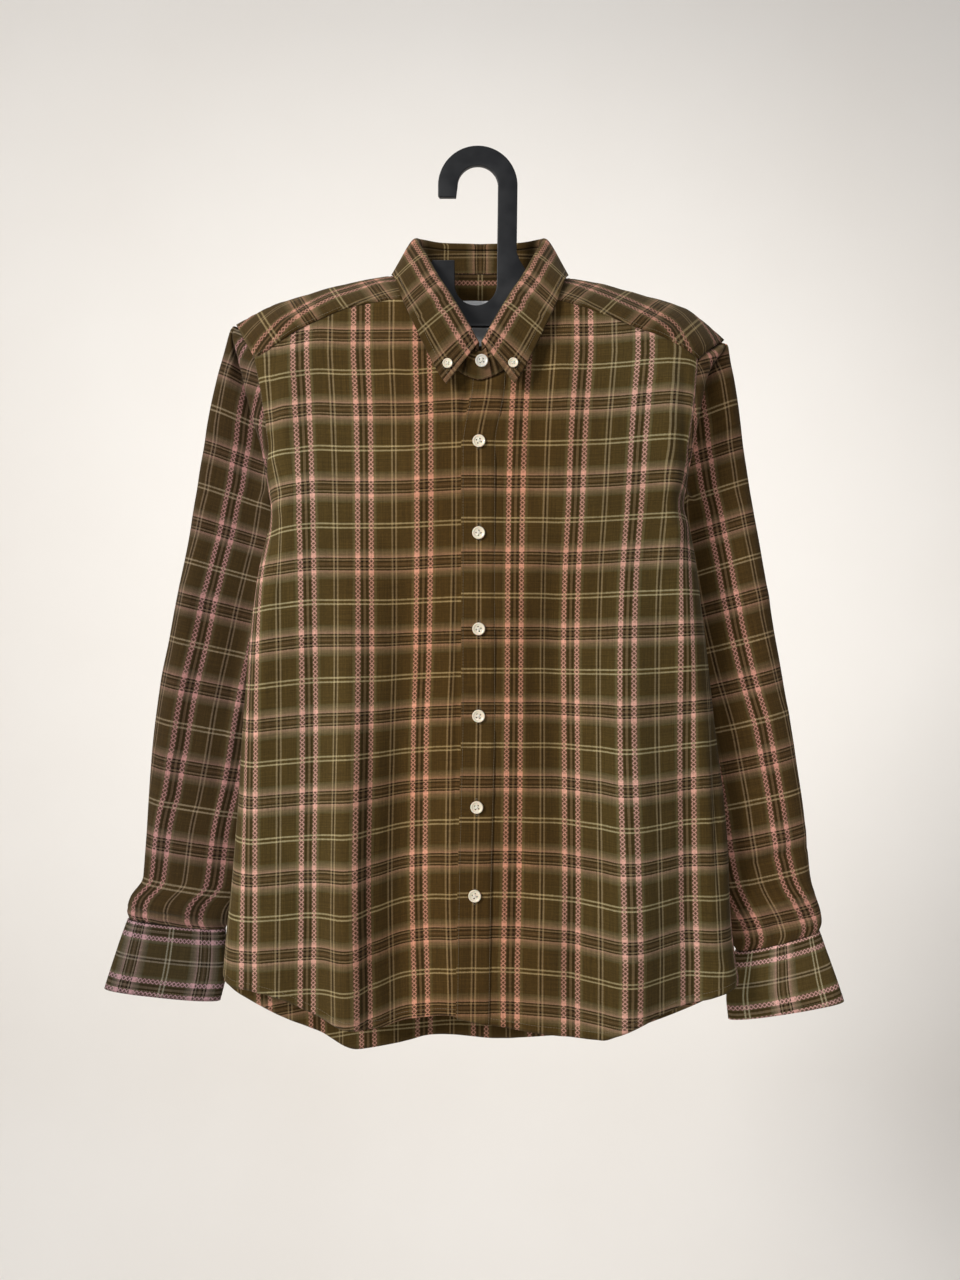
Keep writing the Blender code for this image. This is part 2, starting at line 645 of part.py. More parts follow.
def build_cuff(side):
    return wall("cuff_" + side_name(side), [[tuple(p) for p in row] for row in cuff_rows(side)], FACED)


def sleeve_surface(side, across, height):
    """A point on the back of the sleeve above the cuff, and the same place on its ring."""
    rings = SLEEVE_RINGS[side]
    values = {}
    for column in ("outer", "inner", "middle", "half", "inner_height"):
        Row = namedtuple("Row", "height value")
        values[column] = read([Row(r.outer_height, getattr(r, column)) for r in rings], "value", height)
    centre = (values["outer"] + values["inner"]) / 2
    half = (values["outer"] - values["inner"]) / 2
    x = centre + half * across
    c = abs(across) ** (1 / 0.85)
    s = math.sqrt(max(0.0, 1 - c * c)) ** 0.9
    y = values["middle"] + values["half"] * s
    slope = (values["inner_height"] - height) * (values["outer"] - x) / (values["outer"] - values["inner"])
    return (side * x, y, height + slope)


def build_sleeve_placket(side):
    """A narrow strip on the back of the sleeve, up from the cuff's opening."""
    width, length = SLEEVE_PLACKET
    low = SLEEVE_RINGS[side][-1].outer_height + 2.5
    rows = []
    for step in range(9):
        height = low + length * step / 8
        row = []
        for column in range(5):
            across = 0.12 + width / 50.0 * (column / 4 - 0.5)
            x, y, z = sleeve_surface(side, across, height)
            row.append((x, y + CLOTH / 2 + LAY_GAP + CLOTH / 2 + 0.9, z))
        rows.append(row)
    return wall("sleeve_placket_" + side_name(side), rows, CLOTH)


# ---- collar ----
def collar_lines(steps):
    """Neck seam, roll and fall edge as three matching lines, all the way round."""
    out = []
    for part in ("neck", "roll", "fall"):
        keys = []
        for number, row in enumerate(COLLAR):
            across, y, height = getattr(row, part)
            if part == "neck" and number < FRONT_ROWS:
                y = front_y(CENTRE - across, height)
            keys.append((across, y, height))
        half = through(keys, steps)
        right = [Vector((CENTRE - p.x, p.y, p.z)) for p in half]
        left = [Vector((CENTRE + p.x, p.y, p.z)) for p in reversed(half[:-1])]
        # The wearer's left end laps over the right one, and is carried forward for it.
        count = 4 * steps
        for k in range(count):
            left[-1 - k].y -= STAND_LAP * (1 - k / count)
        out.append(right + left)
    return out


def stand_rows():
    neck, roll, _ = collar_lines(COLLAR_STEPS)
    rows = []
    count = len(neck)
    levels = 4
    for k in range(count):
        low = neck[k] + (roll[k] - neck[k]).normalized() * (CLOTH / 2 + SEAM_GAP + 0.6)
        high = neck[k].lerp(roll[k], STAND_TOP)
        out = Vector(((low.x + high.x) / 2 - CENTRE, (low.y + high.y) / 2, 0)).normalized()
        row = [low.lerp(high, n / (levels - 1)) + out * 1.2 * math.sin(math.pi * n / (levels - 1))
               for n in range(levels)]
        rows.append(row)

    def passing(row, reach, forward):
        """The band's end, carried past the centre front."""
        shift = Vector((reach, forward, 0))
        return [point + shift for point in row]

    over = [passing(rows[-1], -STAND_OVER * k / 3, 0.0) for k in (1, 2, 3)]
    for k, lift in ((1, 1.0), (2, 4.5)):
        for n, point in enumerate(over[k]):
            point.z += lift * (1 - n / (levels - 1)) - 0.8 * lift * (n / (levels - 1))
    return [[tuple(p) for p in row] for row in rows + over]


def build_stand():
    return wall("collar_stand", stand_rows(), FACED)


def leaf_section(neck, roll, fall, centre):
    """The leaf from the stand's top edge, over the roll and down to the fall edge."""
    up = (roll - neck).normalized()
    down = (fall - roll).normalized()
    out = Vector((roll.x - centre, roll.y * 0.6 - 14.0, 0)).normalized()
    join = neck.lerp(roll, STAND_TOP) + up * (SEAM_GAP + 0.9)
    lift = roll + up * 0.5
    keys = [join, join.lerp(lift, 0.6), lift + out * 2.2, roll + out * 4.8 + down * 3.0,
            roll.lerp(fall, 0.30) + out * 4.6, roll.lerp(fall, 0.65) + out * 2.6, fall]
    return keys


def leaf_rows():
    neck, roll, fall = collar_lines(COLLAR_STEPS)
    rows = []
    for k in range(len(neck)):
        section = through([tuple(p) for p in leaf_section(neck[k], roll[k], fall[k], CENTRE)], 3)
        rows.append([tuple(p) for p in evenly(section, LEAF_POINTS)])
    return rows


def build_leaf():
    return wall("collar_leaf", leaf_rows(), FACED)


# ---- placket, label, buttons ----
def build_placket():
    top = COLLAR[0].neck[2] - SEAM_GAP - 0.3
    rows = []
    levels = 30
    for level in range(levels):
        row = []
        for column in range(4):
            across = PLACKET_WIDTH * (column / 3 - 0.5)
            hem = read(FRONT_HEM, "height", across) + 0.5
            height = mix(top, hem, level / (levels - 1))
            x = read(CENTRE_FRONT, "x", height) + across
            top_here = min(0.0, top_of_front(-1 if x < CENTRE else 1, x) - COLLAR[0].neck[2])
            y = front_depth(x, height) - (CLOTH + PLACKET_THICK) / 2 - LAY_GAP
            row.append((x, y, height + top_here))
        rows.append(row)
    return wall("button_placket", rows, PLACKET_THICK)


def build_label():
    width, tall, thick = LABEL
    top = -12.0
    rows = []
    for level in range(6):
        height = top - tall * level / 5
        row = []
        for column in range(7):
            x = CENTRE + width * (column / 6 - 0.5)
            row.append((x, label_depth(x, height), height))
        rows.append(row)
    return wall("neck_label", rows, thick, kind="satin")


def label_depth(x, height):
    """Just inside the yoke's back."""
    side = -1 if x < CENTRE else 1
    line = yoke_section(side, 2.0 - min(0.6, abs(x - CENTRE) / 90.0))
    nearest = min(line, key=lambda p: abs(p.z - height) + 0.3 * abs(p.x - x))
    return nearest.y - CLOTH / 2 - LAY_GAP - LABEL[2] / 2 - 0.4


def build_button(name, place, facing, size):
    """A round button with its middle at place, facing along a direction."""
    diameter, thick = size
    bpy.ops.mesh.primitive_cylinder_add(vertices=16, radius=diameter * 0.0005, depth=thick * 0.001)
    made = bpy.context.object
    made.name = name
    made.data.name = name
    for owner in list(made.users_collection):
        owner.objects.unlink(made)
    bpy.data.collections["flannel_shirt"].objects.link(made)
    own = material("button").copy()
    own.name = name
    made.data.materials.append(own)
    made.data.shade_smooth()
    made.location = metres(*place)
    made.rotation_euler = Vector(facing).to_track_quat("Z", "Y").to_euler()
    rim = made.modifiers.new("rim", "BEVEL")
    rim.width = 0.0005
    rim.segments = 1
    rim.limit_method = "ANGLE"
    return made


def cell(rows, r, c, outward):
    """The middle of a grid's cell, and its normal on the side of a direction."""
    a, b, d, e = (Vector(rows[r][c]), Vector(rows[r][c + 1]), Vector(rows[r + 1][c + 1]), Vector(rows[r + 1][c]))
    normal = (d - a).cross(e - b).normalized()
    if normal.dot(Vector(outward)) < 0:
        normal = -normal
    return (a + b + d + e) / 4, normal


def on_front(rows, x, height):
    """The place on the front of a grid at an x and height, and its normal."""
    best = None
    for r in range(len(rows) - 1):
        for c in range(len(rows[r]) - 1):
            middle, normal = cell(rows, r, c, (0, -1, 0))
            away = math.hypot(middle.x - x, middle.z - height) + 0.5 * middle.y
            if best is None or away < best[0]:
                best = (away, middle, normal)
    middle, normal = best[1:]
    shift = Vector((x - middle.x, 0, height - middle.z))
    shift.y = -(normal.x * shift.x + normal.z * shift.z) / normal.y
    return middle + shift, normal


def build_buttons():
    lift = (CLOTH + PLACKET_THICK) / 2 + LAY_GAP + PLACKET_THICK / 2 + LAY_GAP + BUTTON[1] / 2
    for number, height in enumerate(BUTTON_HEIGHTS, start=1):
        x = read(CENTRE_FRONT, "x", height)
        build_button("button_front_%d" % number, (x, front_depth(x, height) - lift, height), (0, -1, 0), BUTTON)
    proud = FACED / 2 + LAY_GAP
    place, out = on_front(stand_rows(), *STAND_BUTTON)
    build_button("button_stand", place + out * (proud + BUTTON[1] / 2 + 0.3), out, BUTTON)
    for side in (-1, 1):
        name = side_name(side)
        across, height = COLLAR_BUTTON
        place, out = on_front(leaf_rows(), CENTRE + side * across, height)
        build_button("button_collar_" + name, place + out * (proud + SMALL_BUTTON[1] / 2 + 0.2), out, SMALL_BUTTON)
        place, out = cell(cuff_rows(side), CUFF_BUTTON_ROW, -4, (0, 1, 0))
        build_button("button_cuff_" + name, place + out * (proud + SMALL_BUTTON[1] / 2 + 0.3), out, SMALL_BUTTON)


# ---- hanger ----
def arc(centre_x, centre_z, radius, start, end, count):
    """Points on a circle, from one angle to another, in degrees."""
    return [(centre_x + radius * math.cos(math.radians(mix(start, end, k / count))),
             centre_z + radius * math.sin(math.radians(mix(start, end, k / count)))) for k in range(count + 1)]


def arm_edge(side, down):
    """The arm's top edge, a little under the yoke's crest, or its lower edge."""
    edge = []
    for arm in HANGER_ARM:
        x = side * arm.x
        top = read(SHOULDER, side_name(side), abs(x - CENTRE)) - NECK_DROP - ARM_CLEAR
        if arm is HANGER_ARM[-1] and down == 0.0:
            top -= 5.0
        edge.append((x, top - down * arm.deep))
    return edge


def hanger_outline():
    hook_z = -HOOK_INNER
    top, low = NECK_PLATE
    notch_x, notch_z, notch_r = NOTCH
    points = []
    # Down the short leg's outer side, over the hook and down the stem.
    points += [(-HOOK_INNER - 1.5, hook_z - 11.5), (-HOOK_OUTER + 1.5, hook_z - 11.5),
               (-HOOK_OUTER, hook_z - 9.5)]
    points += arc(0, hook_z, HOOK_OUTER, 180, 0, 22)
    points += [(STEM[1] + 0.6, -86.0), (STEM[1] + 3.5, -94.0), STEM_FOOT]
    points += arm_edge(1, 0.0)
    points += list(reversed(arm_edge(1, 1.0)))
    points += arm_edge(-1, 1.0)
    points += list(reversed(arm_edge(-1, 0.0)))
    points += [(BLOCK[0] - 3.5, -116.5), (BLOCK[0], top), (BLOCK[1], top)]
    points += arc(notch_x, notch_z, notch_r, 180, 360, 14)
    points += [(STEM[0] + 0.4, -90.0)]
    points += arc(0, hook_z, HOOK_INNER, 0, 180, 14)
    return points


def build_hanger():
    curve = bpy.data.curves.new("hanger", "CURVE")
    curve.dimensions = "2D"
    curve.fill_mode = "BOTH"
    outline = hanger_outline()
    spline = curve.splines.new("POLY")
    spline.points.add(len(outline) - 1)
    for point, (x, z) in zip(spline.points, outline):
        point.co = (x * 0.001, z * 0.001, 0.0, 1.0)
    spline.use_cyclic_u = True
    curve.extrude = HANGER_THICK * 0.0005
    made = add_object("hanger", curve, "plastic")
    made.rotation_euler = (math.pi / 2, 0, 0)
    return made


def start_clean():
    for old in list(bpy.data.objects):
        bpy.data.objects.remove(old, do_unlink=True)
    if "flannel_shirt" not in bpy.data.collections:
        made = bpy.data.collections.new("flannel_shirt")
        bpy.context.scene.collection.children.link(made)


def main():
    start_clean()
    build_hanger()
    build_back()
    build_yoke()
    for side in (-1, 1):
        build_front(side)
        build_sleeve(side)
        build_cuff(side)
        build_sleeve_placket(side)
    build_placket()
    build_stand()
    build_leaf()
    build_label()
    build_buttons()


main()
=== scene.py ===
"""The looks of a plaid flannel shirt hung on a flat plastic hanger.

Lengths are millimetres until a mesh is made.  Heights are measured from the shirt's neck point, which hangs
NECK_DROP below the inside top of the hanger's hook.  "Side" is -1 for the wearer's right, at -X, and +1 for
the wearer's left.  Cloth coordinates count millimetres across the warp stripes and across the weft bands.
"""

import math
from collections import namedtuple

import bmesh
import bpy
import numpy as np
from mathutils import Matrix, Vector


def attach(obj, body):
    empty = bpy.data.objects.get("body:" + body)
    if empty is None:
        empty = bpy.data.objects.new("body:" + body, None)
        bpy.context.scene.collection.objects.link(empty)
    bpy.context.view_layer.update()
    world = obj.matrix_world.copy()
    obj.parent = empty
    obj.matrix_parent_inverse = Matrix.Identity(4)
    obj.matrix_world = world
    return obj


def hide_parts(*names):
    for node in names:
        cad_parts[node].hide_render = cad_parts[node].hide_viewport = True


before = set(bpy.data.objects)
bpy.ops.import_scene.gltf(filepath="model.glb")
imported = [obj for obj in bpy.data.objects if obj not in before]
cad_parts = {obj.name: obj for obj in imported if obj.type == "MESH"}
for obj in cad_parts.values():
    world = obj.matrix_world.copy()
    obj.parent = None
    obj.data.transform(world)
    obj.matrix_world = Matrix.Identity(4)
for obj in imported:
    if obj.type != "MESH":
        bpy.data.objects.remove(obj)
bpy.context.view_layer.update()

# ---- driving dimensions ----
NECK_DROP = 110.0           # hook to neck point
CENTRE = 2.5                # x of the collar's middle
SIDES = (-1, 1)
FORWARD, BACKWARD, UP = (0, -1, 0), (0, 1, 0), (0, 0, 1)
CLOTH = 1.0                 # brushed flannel
FACED = 1.9                 # two layers and interlining: collar and cuffs
SEAM_GAP = 0.2              # between pieces that are sewn to each other
LAY_GAP = 0.3               # between pieces that lie on each other
SIDE_ROUND = 27.0           # radius of the body's rounded edge, across
CROWN = 3.0                 # how far the fronts fall back towards the sides
SHOULDER_FULL = 0.4         # 0 for a straight slope from crest to seam, 1 for a round one
BACK_ROUND = 1.7            # how full the back is, as an exponent
PLACKET_WIDTH = 33.0
PLACKET_THICK = 1.4
SLEEVE_PLACKET = (24.0, 118.0)   # width, length
BUTTON = (12.2, 2.4)        # diameter, thickness
SMALL_BUTTON = (9.4, 2.0)
BUTTON_TURNS = 48           # points round a button
HANGER_THICK = 5.5
HOOK_OUTER = 39.4
HOOK_INNER = 20.0
LABEL = (50.0, 46.0, 0.5)   # width, height, thickness
WARP = 57.2                 # repeat of the stripes
WEFT = 71.8                 # repeat of the bands

YOKE_END = 212.0            # from CENTRE to the yoke's front corner at the armhole
CREST_END = 242.5           # from CENTRE to the shoulder end of the crest
CREST_NECK = 90.0           # and to its end at the neck
CREST_BACK = 64.0           # and to where it dies out behind the neck
RING_ROUND = (0.85, 0.9)    # exponents that flatten a ring, across and deep
HEM_TURN = 7.0              # from a hem's edge to its stitches, over the turned-up cloth
EDGE_STITCH = 1.8           # from a seam or edge to its stitches
FACED_STITCH = 5.5          # the same on collar and cuffs

# ---- how many points each piece has, across and down ----
FRONT_GRID = (120, 210)
BACK_GRID = (170, 150)
YOKE_GRID = (82, 4, 44)     # columns, points between two columns, levels
SLEEVE_GRID = (56, 84, 7)   # seam to outer edge, outer edge to seam, points between two rings
CUFF_GRID = (170, 8)        # columns, points between two rings
PLACKET_GRID = (300, 26)    # levels, columns
COLLAR_STEPS = 12           # points between two rows of the collar's table
LEAF_POINTS = 38
STAND_POINTS = 16

# ---- seams ----
FRONT_START = {-1: 4.0, 1: 4.7}  # from the placket's middle line to each front's edge
PLACKET_LEAN = 7.0          # how far the placket's top is pulled to the wearer's left
TUCKED = 3.0                # seam allowance up under the yoke and collar
TUCK_DEPTH = 1.5            # how far back it lies
SLEEVE_TUCK = (3.0, 2.2)    # how far the sleeve's seam allowance goes in behind the body, across and deep


# ---- tables ----
def table(columns, *rows):
    """Rows of numbers with named columns."""
    kind = namedtuple("Row", columns)
    return [kind(*row) for row in rows]


# The body's edge seen from the front: the armhole seam down to the underarm, then the side seam.
EDGE = "height right left depth"
BODY_EDGE = table(
    EDGE,
    (-92, 214, 211, -31), (-117, 208.5, 208.5, -33), (-142, 204.5, 206, -34), (-160, 202, 203.5, -34),
    (-177, 200.5, 201.5, -32), (-195, 203.5, 204, -21), (-212, 204.5, 204.5, -6), (-228, 204, 204.5, 9),
    (-252, 206, 209.5, 6), (-282, 212, 214.5, 3), (-321, 219, 219, 1), (-360, 224, 224, 0),
    (-409, 227.7, 229.5, -1), (-458, 231.6, 234, -2), (-507, 234.6, 239, -3), (-557, 238.5, 243.5, -4),
    (-606, 242.4, 246.5, -5), (-645, 246.4, 249.5, -5), (-700, 250.5, 256.5, -5), (-760, 252, 259, -5))
UNDERARM = -228.0

# The back's armhole seam, from the yoke down to the underarm.
BACK_EDGE = table(
    EDGE,
    (-88, 212, 210, 15), (-120, 206, 206.5, 15), (-160, 202, 203, 13), (-195, 202.5, 203.5, 11),
    (-228, 204, 204.5, 9))

# Depth of the middle of the front and of the back.
BODY_DEPTH = table(
    "height front back",
    (-20, -33, 37), (-60, -36, 37), (-114, -41, 36), (-160, -43, 34), (-250, -43, 31), (-400, -41, 27),
    (-600, -37, 22), (-760, -32, 17))

# The middle line of the placket.
CENTRE_FRONT = table(
    "height x",
    (-90, 4.4), (-130, 2.8), (-173, 1), (-432, 0.8), (-519, -0.9), (-604, -2.8), (-740, -4.8))

# Front yoke seam, by distance from CENTRE.
YOKE_SEAM = table(
    "across right left",
    (59, -31, -31), (79, -33.5, -36), (100, -37, -42), (127, -42.5, -52.5), (148, -51, -61),
    (172, -62.5, -69.5), (192, -75, -79.5), (212, -90, -93))

# Shoulder line, by distance from CENTRE, and the depth of the yoke's fullest point at the back.
SHOULDER = table(
    "across right left back",
    (60, 2, 1.5, 34), (85, 1, -1.3, 32), (108, -1.5, -4.5, 30), (140, -8.5, -12, 28), (173, -17.5, -21, 25),
    (202, -26.5, -30.5, 22), (224, -37, -46, 18), (242.5, -47, -62, 12))
YOKE_BACK = (-72.0, -88.0)  # heights of the back seam: at the middle and at the armhole

# Hems, by x.
FRONT_HEM = table(
    "x height",
    (-256, -682), (-249, -686), (-236, -694), (-221, -696), (-191, -703), (-158, -717.5), (-127, -728),
    (-93, -732), (-68, -728), (-25, -721), (0, -727), (36, -733), (80, -738.5), (118, -741), (132, -736),
    (156, -724), (193, -714), (223, -706), (245, -699), (262, -694))
BACK_HEM = table(
    "x height",
    (-256, -690), (-241, -706), (-216, -722), (-191, -736), (-158, -751), (-122, -772), (-80, -766),
    (-48, -760), (22, -763), (80, -761), (130, -756), (180, -738), (220, -719), (245, -706), (262, -698))

# Broad vertical folds: a crest starts at top and grows down to the hem.
FRONT_FOLDS = table(
    "x_top x_hem top width height",
    (-112, -120, -300, 30, 8), (120, 134, -330, 38, 8.5), (-190, -196, -380, 24, 3.5), (50, 62, -420, 26, 3))
BACK_FOLDS = table(
    "x_top x_hem top width height",
    (-95, -122, -180, 34, 7), (-20, -30, -260, 30, 5.5), (70, 84, -220, 36, 7.5))

# Collar sections, from the centre front round to the centre back: neck seam, roll and fall edge.  Each is
# the distance from CENTRE, the depth and the height.
COLLAR = table(
    "neck roll fall",
    ((2, -41, -114), (1.6, -44, -80), (32, -53, -120)),
    ((20, -41, -106), (5.5, -43.5, -73), (39, -52.5, -110)),
    ((36, -40, -86), (12, -41.5, -60), (48.5, -51, -92)),
    ((48, -38, -64), (26.5, -33.5, -32), (62.5, -46, -62)),
    ((59, -34, -31), (41, -22, -6), (73.5, -39, -37)), ((62, -18, -13), (52, -8, 18), (82.5, -21, -10)),
    ((61.5, 0, 2), (62, 10, 40), (87, 2, 2)), ((54, 16, 8), (57, 22, 45), (78, 27, 5)),
    ((34, 28, 13), (36, 32, 46), (47, 42, 6)), ((0, 33, 15), (0, 35, 46.5), (0, 46, 6)))
FRONT_ROWS = 5              # the first rows of the neck seam lie on the fronts
STAND_OVER = 15.0           # how far the stand's upper end passes the centre front
STAND_TOP = 0.78            # how far up from neck seam to roll the stand reaches
STAND_LAP = 2.5             # depth between the lapped ends

# The sleeve's head: where it leaves the armhole it stands out in a fold, falls into a hollow, then hangs
# behind the body.  Columns: height, outer edge, inner edge, middle depth, half depth, fold, hollow.
HEAD = "height outer inner middle half fold hollow"
FOLDED_BELOW = -130.0       # from here down the sleeve also passes behind the back panel
SLEEVE_HEAD = {
    -1: table(
        HEAD,
        (-52, 244.5, 233, 2, 7, (241.5, -6), (243, -2)), (-61, 248.2, 229, 4, 11, (239.5, -12), (241, -3)),
        (-78, 253.5, 222, 7, 14, (235, -17), (237, -1)), (-98, 259.5, 212, 10, 17, (230, -19), (229, 2)),
        (-120, 265.5, 206, 15, 18, (225, -20), (220.5, 3)),
        (-143, 271.5, 198, 21, 18, (219.5, -22), (213.5, 4)),
        (-164, 276, 185, 26, 17, (213.5, -22), (210.5, 7)), (-186, 280.5, 175, 28, 17, (209, -19), (211, 9)),
        (-207, 284, 169, 29, 16, (209.5, -2), (214, 11))),
    1: table(
        HEAD,
        (-69, 248, 235, 3, 8, (243.5, -7), (244.5, -1)), (-77, 249.6, 230, 5, 12, (238.5, -14), (239.5, -2)),
        (-87, 251.7, 224, 7, 14, (231.5, -17), (231, 1)), (-102, 255.5, 214, 10, 17, (224, -20), (222, 3)),
        (-120, 259.7, 207, 15, 18, (219, -23), (215, 4)), (-143, 264.5, 199, 21, 18, (214, -25), (211.5, 4)),
        (-164, 268.5, 185, 26, 17, (210.5, -24), (210.5, 7)),
        (-186, 272.3, 175, 28, 17, (209, -19), (211, 9)), (-207, 276, 169, 29, 16, (209.5, -2), (214, 11)))}

# The sleeve below the underarm, a flattened tube: height and x of its outer and inner edges, depths.
RING = "outer_height inner_height outer inner middle half"
SLEEVE_RINGS = {
    -1: table(
        RING,
        (-228, -228, 288, 166, 29, 16), (-255, -255, 292, 169, 28, 16), (-283, -283, 297.3, 174, 27, 17),
        (-322, -322, 305, 181, 25, 17), (-363, -363, 312.4, 190, 24, 17), (-400, -400, 320.4, 199, 23, 16),
        (-440, -440, 326.5, 207, 22, 16), (-482, -482, 330.5, 215, 21, 15), (-526, -528, 333.5, 222, 20, 15),
        (-565, -570, 335.5, 229, 19, 14), (-592, -600, 337, 235, 19, 14), (-604, -612, 339, 237, 18, 15),
        (-618, -628, 350, 243, 18, 17), (-632, -643, 354.5, 251, 18, 15),
        (-641.4, -651.4, 352.6, 256.4, 18, 12)),
    1: table(
        RING,
        (-228, -228, 280, 166, 29, 16), (-255, -255, 284.3, 169, 28, 16), (-283, -283, 288.5, 174, 27, 17),
        (-322, -322, 294.5, 181, 25, 17), (-363, -363, 301.2, 190, 24, 17), (-400, -400, 307.8, 199, 23, 16),
        (-440, -440, 314.8, 207, 22, 16), (-482, -482, 321.2, 214, 21, 15), (-526, -530, 327.8, 221, 20, 15),
        (-570, -576, 332.5, 228, 19, 14), (-598, -608, 335.5, 235, 19, 14), (-614, -628, 339.5, 239, 18, 16),
        (-630, -648, 345, 246, 18, 17), (-644, -665, 347, 256, 18, 15),
        (-653.4, -674.6, 344.4, 261.4, 18, 12))}
CUFF_RINGS = {
    -1: table(
        RING,
        (-642, -652, 353, 256, 18, 12), (-664, -676, 361, 255, 18, 11.5), (-688, -700, 369, 256, 18, 11),
        (-712, -724, 376.5, 261, 18, 11)),
    1: table(
        RING,
        (-654, -675, 345, 261, 18, 12), (-677, -698, 353, 256, 18, 11.5), (-701, -720, 361, 252, 18, 11),
        (-725, -743, 369, 254, 18, 11))}
CUFF_BUTTON_ROW = 1         # the button lies under this row of CUFF_RINGS
CUFF_BUTTON_COLUMN = -20
CUFF_LAP = 16.0             # how far the cuff's ends lie over each other

# The hanger's arm, from the neck plate to its end: how deep it is below its top edge.
HANGER_ARM = table(
    "x deep",
    (68, 44), (90, 41), (130, 36), (172, 30), (205, 25), (214, 18))
ARM_CLEAR = 7.0             # from the yoke's middle surface at its crest down to the arm
PLATE_TOP = -94.0                # height of the neck plate's top edge
NOTCH = (-2.0, -118.0, 20.8)     # x, height and radius of the notch's round end
BLOCK = (-45.5, -23.0)           # the plate's left block, between its outer side and the notch
STEM = (18.8, 38.0)
STEM_FOOT = (49.0, -106.0)

BUTTON_HEIGHTS = [-173.0, -258.5, -349.5, -432.5, -519.5, -604.5]
STAND_BUTTON = (4.1, -97.6)      # x, height
COLLAR_BUTTON = (31.5, -101.5)   # distance from CENTRE, height

# ---- small helpers ----
CURVES = {}


def read(table, column, where):
    """Smooth value of a table's column at places given in its first column."""
    key = (id(table), column)
    if key not in CURVES:
        rows = sorted(table, key=lambda row: row[0])
        x = np.array([row[0] for row in rows], float)
        y = np.array([getattr(row, column) for row in rows], float)
        step = np.diff(y) / np.diff(x)
        before, after = step[:-1], step[1:]
        turning = before * after <= 0
        inner = np.where(turning, 0.0, 2 * before * after / np.where(turning, 1.0, before + after))
        CURVES[key] = x, y, np.concatenate([step[:1], inner, step[-1:]])
    x, y, slope = CURVES[key]
    where = np.clip(where, x[0], x[-1])
    i = np.clip(np.searchsorted(x, where, side="right") - 1, 0, len(x) - 2)
    span = x[i + 1] - x[i]
    t = (where - x[i]) / span
    return ((2 * t ** 3 - 3 * t ** 2 + 1) * y[i] + (t ** 3 - 2 * t ** 2 + t) * span * slope[i]
            + (3 * t ** 2 - 2 * t ** 3) * y[i + 1] + (t ** 3 - t ** 2) * span * slope[i + 1])


def side_name(side):
    return "right" if side < 0 else "left"


def mix(a, b, t):
    return a + (b - a) * t


def fade(value, start, end):
    """0 before start, 1 past end, smooth between them."""
    t = np.clip((value - start) / (end - start), 0.0, 1.0)
    return t * t * (3 - 2 * t)


def through(keys, steps):
    """A smooth line through its key points, with a number of steps between two of them."""
    keys = np.asarray(keys, float)
    ends = np.vstack([2 * keys[:1] - keys[1:2], keys, 2 * keys[-1:] - keys[-2:-1]])
    t = (np.arange(steps) / steps)[:, None]
    line = []
    for k in range(1, len(ends) - 2):
        p0, p1, p2, p3 = ends[k - 1:k + 3]
        line.append(0.5 * (2 * p1 + (p2 - p0) * t + (2 * p0 - 5 * p1 + 4 * p2 - p3) * t ** 2
                           + (3 * p1 - p0 - 3 * p2 + p3) * t ** 3))
    return np.vstack(line + [keys[-1:]])


def run_of(line):
    """Distance along a line at each of its points."""
    return np.insert(np.cumsum(np.linalg.norm(np.diff(line, axis=0), axis=1)), 0, 0.0)


def distances(grid, axis):
    """Distance along each column of a grid (axis 0) or each row (axis 1), from its first point."""
    step = np.linalg.norm(np.diff(grid, axis=axis), axis=2)
    return np.insert(np.cumsum(step, axis=axis), 0, 0.0, axis=axis)


def evenly(line, count):
    """The same line with count points, evenly spaced along it."""
    line = np.asarray(line, float)
    run = run_of(line)
    goals = np.linspace(0.0, run[-1], count)
    return np.stack([np.interp(goals, run, line[:, k]) for k in range(line.shape[1])], axis=1)


def finer(grid, steps):
    """A grid with more rows, on smooth lines through its own."""
    rows, columns, depth = grid.shape
    return through(grid.reshape(rows, columns * depth), steps).reshape(-1, columns, depth)


def point(*values):
    return np.array(values, float)


def unit(vector):
    return vector / np.maximum(1e-9, np.linalg.norm(vector, axis=-1, keepdims=True))


NECK_LINE = through([row.neck for row in COLLAR], 12)
NECK_CORNER = (FRONT_ROWS - 1) * 12


# ---- the body's shape, as the solids have it ----
def folds(table, x, height):
    """How far the broad folds stand out at a place."""
    out = 0.0
    for fold in table:
        down = fade(-height, -fold.top, 700.0)
        middle = mix(fold.x_top, fold.x_hem, down)
        out = out + fold.height * down * np.exp(-((x - middle) / fold.width) ** 2)
    return out


def front_depth(x, height):
    return read(BODY_DEPTH, "front", height) + CROWN * (x / 200.0) ** 2 - folds(FRONT_FOLDS, x, height)


def front_point(side, across, height, start):
    """Points of the front, and how far each is unrolled: across is 0 at the centre front, 1 at the side."""
    edge = side * read(BODY_EDGE, side_name(side), height)
    end_depth = read(BODY_EDGE, "depth", height)
    flat = np.abs(edge - start) - SIDE_ROUND
    turn = start + side * flat
    turn_depth = front_depth(turn, height)
    drop = end_depth - turn_depth
    arc = math.pi / 2 * np.sqrt((SIDE_ROUND ** 2 + drop ** 2) / 2)
    along = across * (flat + arc)
    angle = np.clip((along - flat) / arc, 0.0, 1.0) * math.pi / 2
    level = along <= flat
    unrolled = start + side * along
    x = np.where(level, unrolled, turn + side * SIDE_ROUND * np.sin(angle))
    y = np.where(level, front_depth(unrolled, height), turn_depth + drop * (1 - np.cos(angle)))
    return x, y, unrolled


def back_edge(side, height):
    edge, depth = [], []
    for table in (BACK_EDGE, BODY_EDGE):
        edge.append(np.where(side < 0, -read(table, "right", height), read(table, "left", height)))
        depth.append(read(table, "depth", height))
    above = height > UNDERARM
    return np.where(above, *edge), np.where(above, *depth)


